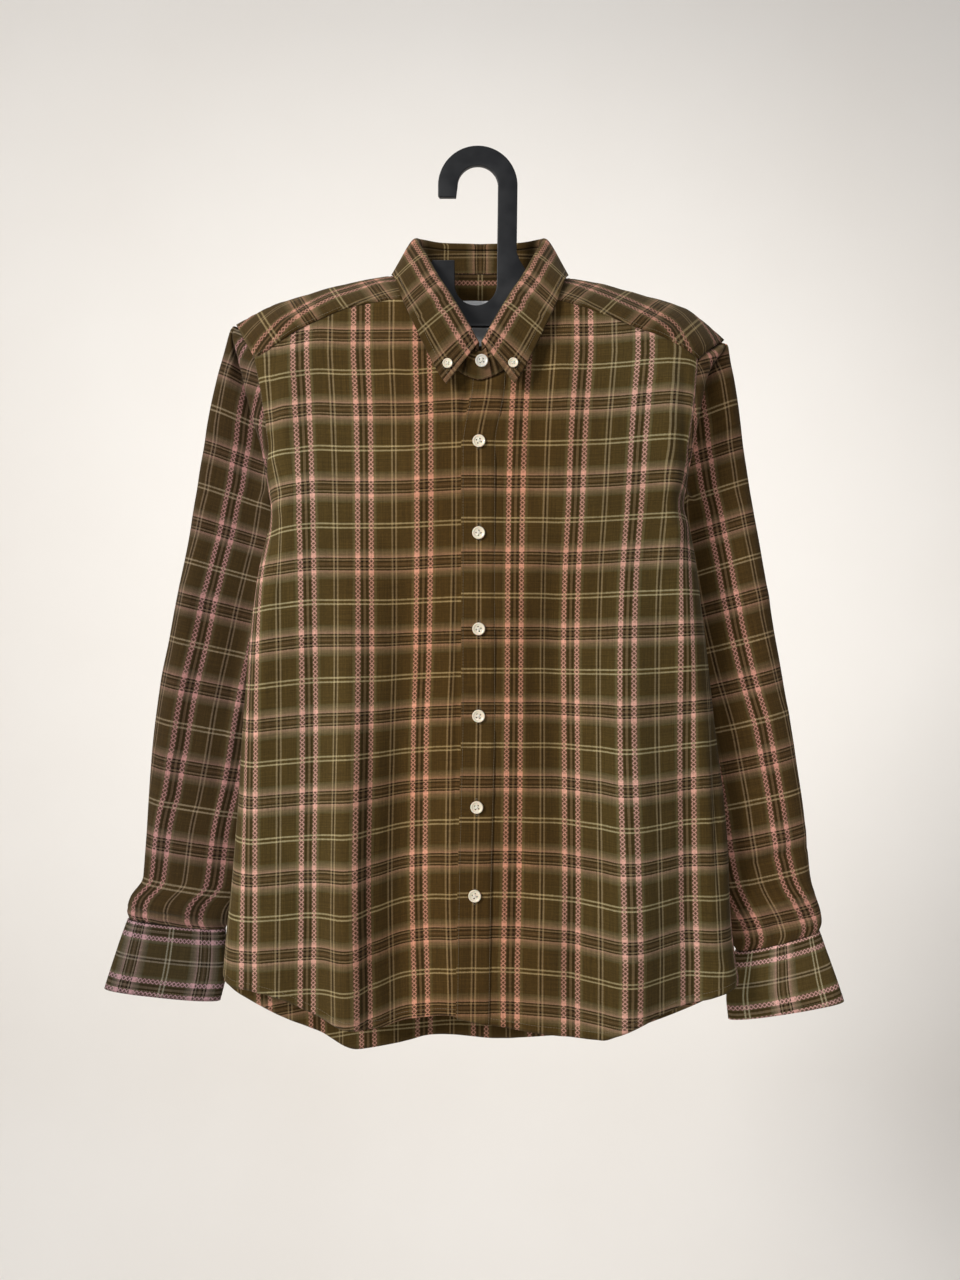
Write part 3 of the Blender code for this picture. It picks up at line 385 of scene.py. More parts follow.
def back_depth(x, height):
    edge, end_depth = back_edge(np.where(x < 0, -1, 1), height)
    full = np.maximum(0.0, 1 - (x / edge) ** 2) ** BACK_ROUND
    return mix(end_depth, read(BODY_DEPTH, "back", height), full) + folds(BACK_FOLDS, x, height) * full


def top_of_front(side, x):
    """Height of the neck seam, or of the yoke seam past it, over a place on the front."""
    across = np.abs(x - CENTRE)
    neck = np.interp(across, NECK_LINE[:NECK_CORNER + 1, 0], NECK_LINE[:NECK_CORNER + 1, 2])
    return np.where(across >= NECK_LINE[NECK_CORNER, 0], read(YOKE_SEAM, side_name(side), across), neck)


def front_y(x, height):
    """Depth of the front at any x, its rounded edge too."""
    side = -1 if x < 0 else 1
    turn = read(BODY_EDGE, side_name(side), height) - SIDE_ROUND
    past = np.clip((abs(x) - turn) / SIDE_ROUND, 0.0, 1.0)
    turn_depth = front_depth(side * turn, height)
    drop = read(BODY_EDGE, "depth", height) - turn_depth
    return np.where(past == 0.0, front_depth(x, height), turn_depth + drop * (1 - np.sqrt(1 - past * past)))


def tucked(height, top):
    """How deep the seam allowance lies at a height, where it passes up under its neighbour's edge."""
    return TUCK_DEPTH * fade(height, top - 0.6, top + 1.2)


def settle(limit, place, like):
    """The height at which columns that lean meet an edge that depends on x."""
    height = np.full(like.shape, -300.0)
    for _ in range(14):
        height = mix(height, limit(place(height)), 0.8)
    return height


def front_grid(side):
    """Points, unrolled distance across and height of one front."""
    columns, levels = FRONT_GRID
    across = np.linspace(0.0, 1.0, columns)[None, :]

    def place(height):
        return front_point(side, across, height, read(CENTRE_FRONT, "x", height) + FRONT_START[side])

    top = settle(lambda x: top_of_front(side, x), lambda height: place(height)[0], across)
    hem = settle(lambda x: read(FRONT_HEM, "height", x), lambda height: place(height)[0], across)
    down = np.linspace(0.0, 1.0, levels)[:, None]
    height = mix(top + TUCKED, hem, down)
    x, y, unrolled = place(height)
    return np.stack([x, y + tucked(height, top), height], axis=-1), unrolled


def yoke_back_height(x):
    return mix(*YOKE_BACK, np.minimum(1.0, np.abs(x - CENTRE) / YOKE_END) ** 1.6)


def back_grid():
    columns, levels = BACK_GRID
    spread = np.linspace(-1.0, 1.0, columns)[None, :]
    side = np.where(spread < 0, -1, 1)
    # The columns stand closer towards the rounded edges.
    closer = math.pi / 2 * 0.8
    across = np.sin(np.abs(spread) * closer) / math.sin(closer)

    def place(height):
        return back_edge(side, height)[0] * across

    top = settle(yoke_back_height, place, across)
    hem = settle(lambda x: read(BACK_HEM, "height", x), place, across)
    height = mix(top + TUCKED, hem, np.linspace(0.0, 1.0, levels)[:, None])
    x = place(height)
    return np.stack([x, back_depth(x, height) - tucked(height, top), height], axis=-1)


def yoke_section(side, station):
    """The yoke from its front or neck edge over the shoulder to its back seam, and its crest's place in it.

    Station 0 is at the armhole, 1 at the front corner of the neck and 2 at the centre back.
    """
    name = side_name(side)
    corner = COLLAR[FRONT_ROWS - 1].neck
    if station <= 1:
        across = mix(YOKE_END, corner[0], station)
        x = CENTRE + side * across
        if station == 0:
            x = side * read(BODY_EDGE, name, BODY_EDGE[0].height)
        edge_height = top_of_front(side, x)
        start = point(x, front_y(x, edge_height), edge_height)
        crest_across = mix(CREST_END, CREST_NECK, station)
    else:
        place = NECK_CORNER + (station - 1) * (len(NECK_LINE) - 1 - NECK_CORNER)
        k = min(len(NECK_LINE) - 2, int(place))
        neck = mix(NECK_LINE[k], NECK_LINE[k + 1], place - k)
        level = front_y(CENTRE + side * corner[0], corner[2]) - corner[1]
        start = point(CENTRE + side * neck[0], neck[1] + level * (1 - fade(neck[1], corner[1], 0.0)), neck[2])
        crest_across = mix(CREST_NECK, CREST_BACK, min(1.0, (station - 1) / 0.4))
    edge_x = back_edge(side, YOKE_BACK[1])[0]
    back_x = CENTRE + (edge_x - CENTRE) * (1 - (station / 2) ** 0.9)
    back_height = yoke_back_height(back_x)
    seam = point(back_x, back_depth(back_x, back_height), back_height)
    line = []
    crest = start
    if start[1] < -0.5 and station < 1.4:
        crest = point(CENTRE + side * crest_across, 1.0, read(SHOULDER, name, crest_across))
        for step in range(12):
            angle = step / 12 * math.pi / 2
            along = 1 - math.cos(angle)
            rise = mix(along, math.sin(angle), SHOULDER_FULL)
            line.append(mix(start, crest, point(rise, along, rise)))
    full_depth = max(seam[1], read(SHOULDER, "back", crest_across) + 2.0 * min(1.0, station))
    full = point(mix(crest[0], seam[0], 0.45), full_depth, mix(crest[2], seam[2], 0.55))
    crest_place = len(line)
    for step in range(13):
        angle = step / 12 * math.pi / 2
        line.append(mix(crest, full, point(1 - math.cos(angle), math.sin(angle), 1 - math.cos(angle))))
    line.append(mix(full, seam, 0.5) + point(0, 0.6, 0))
    line.append(seam)
    return np.array(line), crest_place


# ---- sleeves and cuffs, as the solids have them ----
def armhole(side, height, half):
    """The armhole seam at a height: half is 0 for the front and 1 for the back."""
    end = yoke_section(side, 0)[0]
    top = int(np.argmax(end[:, 2]))
    run = end[:top + 1][::-1] if half == 0 else end[top:]
    if height > run[0, 2]:
        return run[0, :2]
    for a, b in zip(run, run[1:]):
        if b[2] <= height <= a[2]:
            return mix(a, b, (a[2] - height) / max(1e-6, a[2] - b[2]))[:2]
    if half == 0:
        return point(side * read(BODY_EDGE, side_name(side), height), read(BODY_EDGE, "depth", height))
    return point(*back_edge(side, height))


def flattened(place, kind):
    """A sine or cosine drawn out to the flattened ring's form."""
    return math.copysign(abs(place) ** RING_ROUND[kind], place)


def ring_point(side, ring, angle):
    """A point of a flattened ring: 0 is the middle of its front and 90 degrees its outer edge."""
    centre = (ring.outer + ring.inner) / 2
    half = (ring.outer - ring.inner) / 2
    s, c = math.sin(math.radians(angle)), math.cos(math.radians(angle))
    return point(side * (centre + half * flattened(s, 0)), ring.middle - ring.half * flattened(c, 1))


def ring_line(side, ring, pull=0.0):
    """A closed ring from the underarm seam round the outer edge and the back.

    The first rings are pulled towards the body's underarm, where the sleeve is sewn on.
    """
    seam_angle, step, pull_fade = -19.0, 5, 22.0        # degrees
    underarm = point(*back_edge(side, UNDERARM)) + point(side * 1.8, CLOTH + SEAM_GAP + 0.2)
    reach = (underarm - ring_point(side, ring, seam_angle)) * pull
    line = []
    for turned in range(0, 361, step):
        near = min(turned, 360 - turned)
        place = ring_point(side, ring, seam_angle + turned) + reach * math.exp(-(near / pull_fade) ** 2)
        share = (abs(place[0]) - ring.inner) / (ring.outer - ring.inner)
        line.append((*place, mix(ring.inner_height, ring.outer_height, share)))
    return np.array(line)


def head_line(side, head):
    """An open line of the sleeve's head, from the front armhole seam round to the back one."""
    # Along the yoke's sloping end the sleeve starts a little below the seam.
    corner = float(top_of_front(side, CENTRE + side * YOKE_END))
    seam_height = head.height + 2.4 * float(fade(head.height, corner - 8, corner + 6))
    front = armhole(side, seam_height, 0)
    back = armhole(side, seam_height, 1)
    fold = point(side * head.fold[0], head.fold[1])
    hollow = point(side * head.hollow[0], head.hollow[1])
    turned_back = 1.2 * float(fade(-head.height, 178, 195))
    first = front + unit(fold - front) * SEAM_GAP + point(side * 0.5 * turned_back, turned_back)
    folded = head.height < FOLDED_BELOW
    keys = [first + point(-side * SLEEVE_TUCK[0], SLEEVE_TUCK[1]), first, fold, hollow]
    for angle in range(0, 360, 15):
        place = ring_point(side, head, angle)
        if angle < 90 and abs(place[0]) < head.hollow[0] + 0.25 * (head.outer - head.hollow[0]):
            continue
        if not folded and angle > 90 and abs(place[0]) < abs(back[0]) + 0.3 * (head.outer - abs(back[0])):
            continue
        if angle > 270 and abs(place[0]) > mix(head.inner, abs(back[0]), 0.35):
            continue
        keys.append(place)
    if folded:
        tuck = abs(back[0]) - head.inner
        keys.append(point(side * (abs(back[0]) - 0.4 * tuck), back[1] + CLOTH + 2.6 + 0.1 * tuck))
    last = back + point(side * 0.3, CLOTH / 2 + SEAM_GAP)
    keys += [last, last - point(side * SLEEVE_TUCK[0], SLEEVE_TUCK[1])]
    line = through(keys, 6)
    return np.column_stack([line, np.full(len(line), head.height)])


def sleeve_grid(side):
    """Points of a sleeve, its columns counted from the seam to the outer edge and on, and its closed row."""
    lines = [head_line(side, head) for head in SLEEVE_HEAD[side]]
    joined = len(lines)
    pulls = {0: 1.0, 1: 0.3}
    lines += [ring_line(side, ring, pulls.get(k, 0.0)) for k, ring in enumerate(SLEEVE_RINGS[side])]
    front, back, steps = SLEEVE_GRID
    rows = []
    for line in lines:
        turn = int(np.argmax(np.abs(line[:, 0])))
        rows.append(np.vstack([evenly(line[:turn + 1], front + 1), evenly(line[turn:], back + 1)[1:]]))
    # The sleeve's top follows the yoke's end up over the shoulder, tucked in under it.
    end = yoke_section(side, 0)[0]
    under = evenly(end[end[:, 2] > rows[0][0, 2]], len(rows[0])) - point(side * 4.0, 0.0, 1.6)
    cap = [under, mix(rows[0], under, 0.45)]
    return finer(np.array(cap + rows), steps), (joined + len(cap)) * steps


def cuff_line(side, ring, count):
    """The cuff's band: a ring whose ends lie over each other at the back."""
    centre = (ring.outer + ring.inner) / 2
    half = (ring.outer - ring.inner) / 2
    start = math.pi * 0.98
    turn = 2 * math.pi + CUFF_LAP / half
    line = []
    for t in np.linspace(0.0, 1.0, count + 1):
        across, deep = math.sin(start - turn * t), math.cos(start - turn * t)
        out = (FACED + LAY_GAP + 0.5) * float(fade(t, 0.80, 0.95))
        x = centre - (half + out * abs(across)) * flattened(across, 0)
        y = ring.middle - (ring.half + out) * flattened(deep, 1)
        line.append((side * x, y, mix(ring.inner_height, ring.outer_height, (x - ring.inner) / (2 * half))))
    return np.array(line)


def cuff_grid(side):
    columns, steps = CUFF_GRID
    rows = np.array([evenly(cuff_line(side, ring, 240), columns) for ring in CUFF_RINGS[side]])
    return finer(rows, steps)


def sleeve_surface(side, across, height):
    """A point on the back of the sleeve above the cuff."""
    inner, outer, middle, deep, inner_height = [
        float(read(SLEEVE_RINGS[side], column, height))
        for column in ("inner", "outer", "middle", "half", "inner_height")]
    half = (outer - inner) / 2
    x = inner + half * (1 + across)
    c = abs(across) ** (1 / RING_ROUND[0])
    y = middle + deep * math.sqrt(max(0.0, 1 - c * c)) ** RING_ROUND[1]
    slope = (inner_height - height) * (outer - x) / (2 * half)
    return side * x, y, height + slope


# ---- collar, as the solids have it ----
def collar_lines(steps):
    """Neck seam, roll and fall edge as three matching lines, all the way round."""
    out = []
    for part in ("neck", "roll", "fall"):
        keys = []
        for number, row in enumerate(COLLAR):
            across, y, height = getattr(row, part)
            if part == "neck" and number < FRONT_ROWS:
                y = float(front_y(CENTRE - across, height))
            keys.append((across, y, height))
        half = through(keys, steps)
        right = half * (-1, 1, 1) + (CENTRE, 0, 0)
        left = half[-2::-1] + (CENTRE, 0, 0)
        # The wearer's left end laps over the right one, and is carried forward for it.
        count = 4 * steps
        left[-count:, 1] -= STAND_LAP * (np.arange(count) + 1) / count
        out.append(np.vstack([right, left]))
    return out


def stand_grid():
    bulge, rise, steps = 1.2, 4.5, 14       # out between its edges, up at its end, points past the centre
    neck, roll, _ = collar_lines(COLLAR_STEPS)
    up = np.linspace(0.0, 1.0, STAND_POINTS)
    low = neck + unit(roll - neck) * (SEAM_GAP + 0.4)
    high = mix(neck, roll, STAND_TOP)
    out = (low + high) / 2 * (1, 1, 0) - (CENTRE, 0, 0)
    rows = (low[:, None] + (high - low)[:, None] * up[:, None]
            + unit(out)[:, None] * bulge * np.sin(math.pi * up)[:, None])
    # The upper end passes the centre front and is rounded off.
    reach = STAND_OVER * np.arange(1, steps + 1) / steps
    lift = rise * (reach / STAND_OVER) ** 3
    over = rows[-1][None] - reach[:, None, None] * point(1, 0, 0)
    over[:, :, 2] += lift[:, None] * (1 - 1.8 * up)
    return np.vstack([rows, over])


def leaf_section(neck, roll, fall):
    """The leaf from the stand's top edge, over the roll and down to the fall edge."""
    rising, at_roll, upper, lower = 2.2, 4.8, 4.6, 2.6      # how far it stands out on the way
    up = unit(roll - neck)
    down = unit(fall - roll)
    out = unit(point(roll[0] - CENTRE, roll[1] * 0.6 - 14.0, 0))
    join = mix(neck, roll, STAND_TOP) + up * (SEAM_GAP + 0.9)
    lift = roll + up * 0.5
    return [join, mix(join, lift, 0.6), lift + out * rising, roll + out * at_roll + down * 3.0,
            mix(roll, fall, 0.30) + out * upper, mix(roll, fall, 0.65) + out * lower, fall]


def leaf_grid():
    lines = collar_lines(COLLAR_STEPS)
    return np.array([evenly(through(leaf_section(*keys), 8), LEAF_POINTS) for keys in zip(*lines)])


def arc(centre_x, centre_z, radius, start, end, count):
    """Points on a circle, from one angle to another, in degrees."""
    angles = np.radians(np.linspace(start, end, count + 1))
    return [(centre_x + radius * math.cos(a), centre_z + radius * math.sin(a)) for a in angles]


def arm_edge(side, down):
    """The hanger arm's top edge, a little under the yoke's crest, or its lower edge."""
    edge = []
    for arm in HANGER_ARM:
        x = side * arm.x
        top = float(read(SHOULDER, side_name(side), abs(x - CENTRE))) - NECK_DROP - ARM_CLEAR
        if arm is HANGER_ARM[-1] and down == 0.0:
            top -= 5.0
        edge.append((x, top - down * arm.deep))
    return edge


def hanger_outline():
    hook_z = -HOOK_INNER
    return [
        (-HOOK_INNER - 1.5, hook_z - 11.5), (-HOOK_OUTER + 1.5, hook_z - 11.5), (-HOOK_OUTER, hook_z - 9.5),
        *arc(0, hook_z, HOOK_OUTER, 180, 0, 60),
        (STEM[1] + 0.6, -86.0), (STEM[1] + 3.5, -94.0), STEM_FOOT,
        *arm_edge(1, 0.0), *arm_edge(1, 1.0)[::-1], *arm_edge(-1, 1.0), *arm_edge(-1, 0.0)[::-1],
        (BLOCK[0] - 3.5, -116.5), (BLOCK[0], PLATE_TOP), (BLOCK[1], PLATE_TOP),
        *arc(*NOTCH, 180, 360, 30),
        (STEM[0] + 0.4, -90.0),
        *arc(0, hook_z, HOOK_INNER, 0, 180, 36)]

# ---- where the stripes and bands lie ----
# The x of the pink pairs 1 to 4 from the centre front, by height, and the height of each band's centre.
PAIR = "height x1 x2 x3 x4"
PAIRS = {
    -1: table(
        PAIR,
        (-85, 52.8, 112, 170, 227), (-156, 50.9, 108.4, 165.8, 223), (-232, 50.9, 107.6, 162.9, 220),
        (-374, 53, 106.9, 160.8, 218), (-446, 55.6, 107.5, 160.5, 218.3), (-593, 57.3, 109.8, 162, 218.9),
        (-700, 55, 108.5, 163.4, 220)),
    1: table(
        PAIR,
        (-85, 43, 101.2, 160, 218), (-156, 38.3, 95.7, 153.5, 212), (-232, 36, 92.6, 148.7, 207),
        (-303, 35.2, 89.5, 143.2, 201.2), (-374, 34.8, 88.6, 140.7, 200.3), (-446, 34.3, 89.1, 139.9, 200.1),
        (-593, 32.7, 89.5, 143, 202.3), (-669, 31, 88.8, 145.1, 205.2))}
BANDS = (-137.3, -210.4, -282.5, -353.7, -425.1, -495.1, -567.2, -639.3, -711.9)

# How much lower than at the centre front a band lies, by x, at four heights.
SAGS = "x neck waist belly hem"
SAG_LEVELS = (-137.0, -354.0, -495.0, -639.0)
SAG = {
    -1: table(
        SAGS,
        (-216, 11.4, 14.2, 19.9, 24.7), (-192, 9, 10.4, 18, 22.8), (-150, 3.3, 6.6, 14.7, 20.4),
        (-126, 4.3, 6.6, 12.3, 19.5), (-93, 4.3, 6.6, 10, 14.2), (-69, 4.3, 5.7, 7.6, 9),
        (-36, 1.9, 4.3, 3.8, 3.3), (-16, 0.5, 3.8, 2.5, 2)),
    1: table(
        SAGS,
        (21, 0, 0, 0, 0), (59, 0, 0, 0.9, 1.4), (78, -0.5, 0.9, 1.9, 3.3), (116, -1.9, 0, 4.7, 9),
        (135, -3.3, -0.9, 7.6, 11.4), (173, -7.1, -1.9, 5.7, 9), (192, -7.6, -2.8, 3.8, 7.1),
        (217, -1.9, -3.8, 0.9, 6.2))}

# Sleeves: where bands meet the outer edge, how steeply they slope down from it, and how far in from the
# edge the first pink pair runs.
SLEEVE_BANDS = {-1: (-88.9, -164.1, -240.3, -317.6, -398.9, -480.3, -561.6, -642.0),
                1: (-82.8, -160.0, -236.3, -311.5, -393.9, -472.1, -550.4, -628.7)}
HANG = "height slope pair"
SLEEVE_HANG = {
    -1: table(
        HANG,
        (-90, 24, 39), (-205, 19, 36), (-320, 14, 32), (-439, 11, 29), (-500, 10, 24), (-558, 9, 14.5),
        (-640, 8, 10)),
    1: table(
        HANG,
        (-90, 21, 44), (-244, 17, 39), (-329, 15, 38), (-386, 14, 35), (-474, 12.5, 27), (-562, 11.5, 24),
        (-612, 11, 18), (-655, 11, 9.5))}
YOKE_PAIR = 13.5            # flat height of the yoke's pink pair
YOKE_BAND = 184.0            # distance from CENTRE of one of its bands
LEAF_PAIR = 10.5             # from the collar's roll to its pink pair
LEAF_BAND_HEIGHT = -72.0     # where a band crosses the roll near the collar's points
STAND_PAIR = -9.0            # from the neck seam
CUFF_CREAM = 35.0            # from the cuff's seam to its double cream stripe
CUFF_BAND = {-1: WEFT / 2, 1: 0.0}
SLEEVE_ROUND = 10.0          # how much longer the cloth's way round the outer edge is than the edge's width
# Colour scales of some pieces. Those of the sleeves, the yoke and the collar are painted shade; the wearer's
# right cuff's is painted shade and the wearer's left cuff's painted light; the placket's is its own slightly
# darker tone.
SLEEVE_PAINTED_SHADE = {-1: (0.63, 0.60, 0.72), 1: (1.04, 0.93, 0.93)}
CUFF_PAINTED_LIGHT_AND_SHADE = {-1: (0.67, 0.73, 1.00), 1: (1.38, 1.42, 1.60)}
YOKE_PAINTED_SHADE = (0.77, 0.76, 0.76)
PLACKET_TINT = (0.94, 0.93, 0.92)
COLLAR_PAINTED_SHADE = (0.76, 0.74, 0.73)


def stepped(levels, height):
    """Cloth coordinate at a height, for bands whose centres lie at the levels."""
    levels = np.array(levels)
    k = np.interp(-height, -levels, np.arange(len(levels)))
    above = np.maximum(0.0, height - levels[0]) / WEFT
    below = np.maximum(0.0, levels[-1] - height) / WEFT
    return (k - above + below) * WEFT


def sag(side, x, height):
    """How much lower than at the centre front a band lies."""
    table = SAG[side]
    columns = [read(table, name, x) for name in ("neck", "waist", "belly", "hem")]
    out = columns[0]
    for k in range(3):
        t = np.clip((SAG_LEVELS[k] - height) / (SAG_LEVELS[k] - SAG_LEVELS[k + 1]), 0.0, 1.0)
        out = out + (columns[k + 1] - columns[k]) * t
    return out


def front_cloth(side, unrolled, height):
    """Cloth coordinates of a front: across its stripes and down them."""
    away = side * unrolled
    xs = [read(PAIRS[side], "x%d" % k, height) for k in (1, 2, 3, 4)]
    across = away - xs[0] + WARP
    for k in range(3):
        t = (away - xs[k]) / (xs[k + 1] - xs[k])
        across = np.where(away > xs[k], (k + 1 + t) * WARP, across)
    across = np.where(away > xs[3], 4 * WARP + away - xs[3], across)
    x = np.clip(unrolled, -220, 220)
    return np.stack([side * across, stepped(BANDS, height + sag(side, x, height))], axis=-1)


def across_run(grid, zero):
    """Distance along each row from its column zero, negative before it."""
    run = distances(grid, 1)
    return run - run[:, zero:zero + 1]


def mirrored(distance, band):
    """Cloth coordinate with a band at a distance from the centre, eased to be whole across the centre."""
    spare = band - round(band / (WEFT / 2)) * WEFT / 2
    return distance - band + spare * (1 - fade(distance, 0.0, 0.6 * band))


# ---- relief ----
CREASE = "x0 h0 x1 h1 width height bow"


def creased(table, x, height):
    """How far soft creases stand out at places; each runs from one end to the other and fades at both."""
    out = np.zeros(np.broadcast(x, height).shape)
    for crease in table:
        dx, dh = crease.x1 - crease.x0, crease.h1 - crease.h0
        length = math.hypot(dx, dh)
        t = ((x - crease.x0) * dx + (height - crease.h0) * dh) / length ** 2
        away = ((x - crease.x0) * dh - (height - crease.h0) * dx) / length
        inside = np.clip(1 - (2 * t - 1) ** 2, 0.0, 1.0)
        away = away - crease.bow * inside
        out += crease.height * inside * np.exp(-(away / (crease.width * (0.6 + 0.4 * inside))) ** 2)
    return out


def waves(a, b, pitch_a, pitch_b, seed):
    """Soft uneven waves, between -1 and 1."""
    table = np.random.default_rng(seed).uniform(-1.0, 1.0, (97, 97))
    a, b = np.broadcast_arrays(a / pitch_a + 31.3, b / pitch_b + 47.7)
    ia, ib = np.floor(a).astype(int), np.floor(b).astype(int)
    ta, tb = a - ia, b - ib
    ta, tb = ta * ta * (3 - 2 * ta), tb * tb * (3 - 2 * tb)
    corner = [[table[(ia + i) % 97, (ib + j) % 97] for j in (0, 1)] for i in (0, 1)]
    return mix(mix(corner[0][0], corner[1][0], ta), mix(corner[0][1], corner[1][1], ta), tb)


def soft_waves(a, b, seed, *sizes):
    """Waves of several sizes added up, each given by its height and its pitches."""
    return sum(high * waves(a, b, pitch_a, pitch_b, seed + 10 * k)
               for k, (high, pitch_a, pitch_b) in enumerate(sizes))


def puckers(along, away, pitch, reach, seed):
    """Small ripples beside a seam, dying out away from it."""
    return waves(along, away, pitch, reach * 3, seed) * np.exp(-np.abs(away) / reach)


def panel_relief(creases, grid, seed, *sizes):
    """Creases and soft waves of a body panel, with the puckers and the turned-up edge of its hem."""
    x, height = grid[..., 0], grid[..., 2]
    from_hem = height - grid[-1:, :, 2]
    lift = creased(creases, x, height) + soft_waves(x, height, seed, *sizes)
    turned = 0.5 * fade(from_hem, HEM_TURN + 1.4, HEM_TURN + 0.2)
    return lift + 0.55 * puckers(x, from_hem, 9, 7, seed + 20) + turned


def grid_normals(grid, outward, joined_from=None):
    """Unit normals of a grid, on the side of a direction, or away from each row's middle if it is None."""
    padded = grid
    if joined_from is not None:
        padded = np.concatenate([grid[:, -2:-1], grid, grid[:, 1:2]], axis=1)
        open_rows = np.arange(len(grid)) < joined_from
        padded[open_rows, 0] = 2 * grid[open_rows, 0] - grid[open_rows, 1]
        padded[open_rows, -1] = 2 * grid[open_rows, -1] - grid[open_rows, -2]
    across = np.gradient(padded, axis=1)
    if joined_from is not None:
        across = across[:, 1:-1]
    normal = unit(np.cross(across, np.gradient(grid, axis=0)))
    if outward is None:
        outward = grid - grid.mean(axis=1, keepdims=True)
    if np.sum(normal * outward) < 0:
        normal = -normal
    return normal


def raised(grid, lift, outward, joined_from=None):
    return grid + grid_normals(grid, outward, joined_from) * lift[..., None]


# Creases: x and height of both ends, width, height (less than 0 for a trough) and bow.
FRONT_CREASES = {
    -1: table(
        CREASE,
        (-121, -270, -124, -900, 17, 9.5, 0), (-70, -250, -73, -900, 23, -14.5, 0),
        (-42, -300, -44, -900, 19, -5.5, 0), (-102, -330, -105, -900, 7, -3.6, 0),
        (-203, -228, -214, -650, 14, 2.6, 0), (-180, -62, -184, -200, 9, 2.4, 0),
        (-196, -98, -197, -210, 7, -2.4, 0), (-205, -110, -150, -95, 6, 2.2, 2),
        (-203, -140, -140, -150, 7, 1.8, -2), (-203, -178, -150, -205, 7, 2, 3),
        (-205, -215, -160, -262, 8, 2.6, -3), (-200, -235, -176, -340, 9, -2.4, 2),
        (-60, -60, -95, -150, 10, 1.6, 3), (-38, -118, -60, -260, 10, 1.5, -2),
        (-8, -112, -19, -172, 5, -2.8, 0), (-18.5, -166, -22, -722, 3.4, -2.4, 0),
        (-190, -520, -140, -690, 14, -2.2, 4), (-150, -330, -160, -560, 13, -2, 3),
        (-228, -640, -176, -706, 7, 1.6, 2)),
    1: table(
        CREASE,
        (76, -230, 80, -600, 20, -9.5, 2), (52, -300, 54, -520, 7, -1.8, 0),
        (146, -260, 152, -900, 24, 10.5, 0), (200, -380, 208, -900, 14, -6, 2),
        (226, -420, 231, -610, 3.6, -2.8, 0), (236, -400, 241, -650, 5, 1.8, 0),
        (184, -62, 186, -255, 10, 2.5, 2), (198, -95, 197, -225, 6, -2, 0),
        (203, -120, 150, -98, 6, 1.8, -2), (203, -160, 140, -150, 7, 1.6, 2),
        (203, -200, 150, -228, 7, 2, -3), (206, -238, 165, -310, 8, 2.2, 3),
        (60, -62, 92, -150, 10, 1.5, -3), (36, -122, 52, -250, 9, 1.4, 2), (30, -180, 26, -330, 5, -1.4, 0),
        (34, -430, 40, -690, 11, -2.2, -2), (96, -560, 84, -726, 11, -2.4, 0),
        (226, -668, 258, -694, 6, 2, 0))}
PLACKET_CREASES = table(
    CREASE,
    (10, -116, -2, -168, 6, 1.4, 0), (18, -135, -10, -150, 4, -0.9, 0), (-16, -210, 10, -226, 6, 0.8, 0),
    (12, -395, -14, -410, 7, 0.8, 0), (-16, -560, 10, -572, 7, 0.8, 0), (-4, -620, -8, -712, 7, -1.2, 0))
BACK_CREASES = table(
    CREASE,
    (-96, -190, -120, -740, 12, -4.2, 3), (-58, -150, -66, -610, 14, 2.6, -3),
    (24, -220, 20, -745, 13, -3.8, 2), (74, -190, 88, -745, 12, 3.6, 0),
    (112, -260, 124, -725, 12, -3.8, -2), (150, -168, 170, -430, 10, 2.4, 4),
    (-150, -165, -174, -410, 10, 2.4, -4), (200, -130, 140, -190, 8, 2.2, 4),
    (200, -186, 148, -290, 9, 2.4, 5), (-200, -128, -140, -184, 8, 2.2, -4),
    (-200, -190, -150, -300, 9, 2.4, -5), (-30, -92, -62, -235, 10, 1.7, 3),
    (34, -92, 62, -245, 10, 1.7, -3), (-200, -450, -184, -700, 12, -2.4, 3),
    (206, -430, 196, -690, 12, -2.4, -3))
YOKE_CREASES = table(
    CREASE,
    (-206, -64, -130, -22, 7, 1.5, 2), (200, -70, 118, -26, 7, 1.5, -2), (-112, -22, -84, -8, 6, 1, 0),
    (104, -26, 78, -6, 6, 1, 0), (-190, -50, -170, -34, 5, -1, 0), (186, -58, 166, -38, 5, -1, 0))
SLEEVE_CREASES = {
    -1: table(
        CREASE,
        (-262, -104, -327, -606, 13, 5.5, 0), (-218, -150, -264, -606, 18, -5, 0),
        (-326, -508, -246, -530, 8, -2.6, 3), (-328, -468, -262, -498, 10, 2, 2),
        (-300, -300, -226, -338, 11, 1.6, 4), (-276, -190, -222, -226, 10, 1.6, 3),
        (-360, -630, -262, -641, 2.6, -2.6, 0), (-300, -556, -306, -616, 8, 1.4, 0)),
    1: table(
        CREASE,
        (252, -112, 312, -560, 18, 3.4, 0), (208, -150, 250, -700, 12, -8, 0),
        (246, -594, 338, -568, 5, -2.8, -2), (244, -580, 336, -553, 8, 2.2, -2),
        (250, -641, 343, -613, 5, 2.6, -2), (254, -657, 344, -632, 3.4, -2.6, 0),
        (222, -352, 300, -312, 11, 1.6, -4), (226, -470, 318, -432, 12, 1.6, -4),
        (300, -520, 306, -575, 8, 1.8, 0), (270, -590, 276, -655, 7, 1.8, 0))}
SLEEVE_BACK_CREASES = table(
    CREASE,
    (285, -190, 300, -330, 12, 2.6, 2), (240, -330, 318, -385, 10, 2.6, 4),
    (236, -378, 322, -420, 10, -2.8, 4), (250, -440, 326, -470, 10, 2.4, 3),
    (300, -560, 308, -635, 6, -2.4, 0), (272, -560, 274, -640, 6, 2.2, 0), (330, -560, 336, -630, 6, 2, 0),
    (250, -616, 345, -618, 5, 2.4, 0))


# ---- making meshes ----
def metres(points):
    return (np.asarray(points, float) - (0.0, 0.0, NECK_DROP)) * 0.001


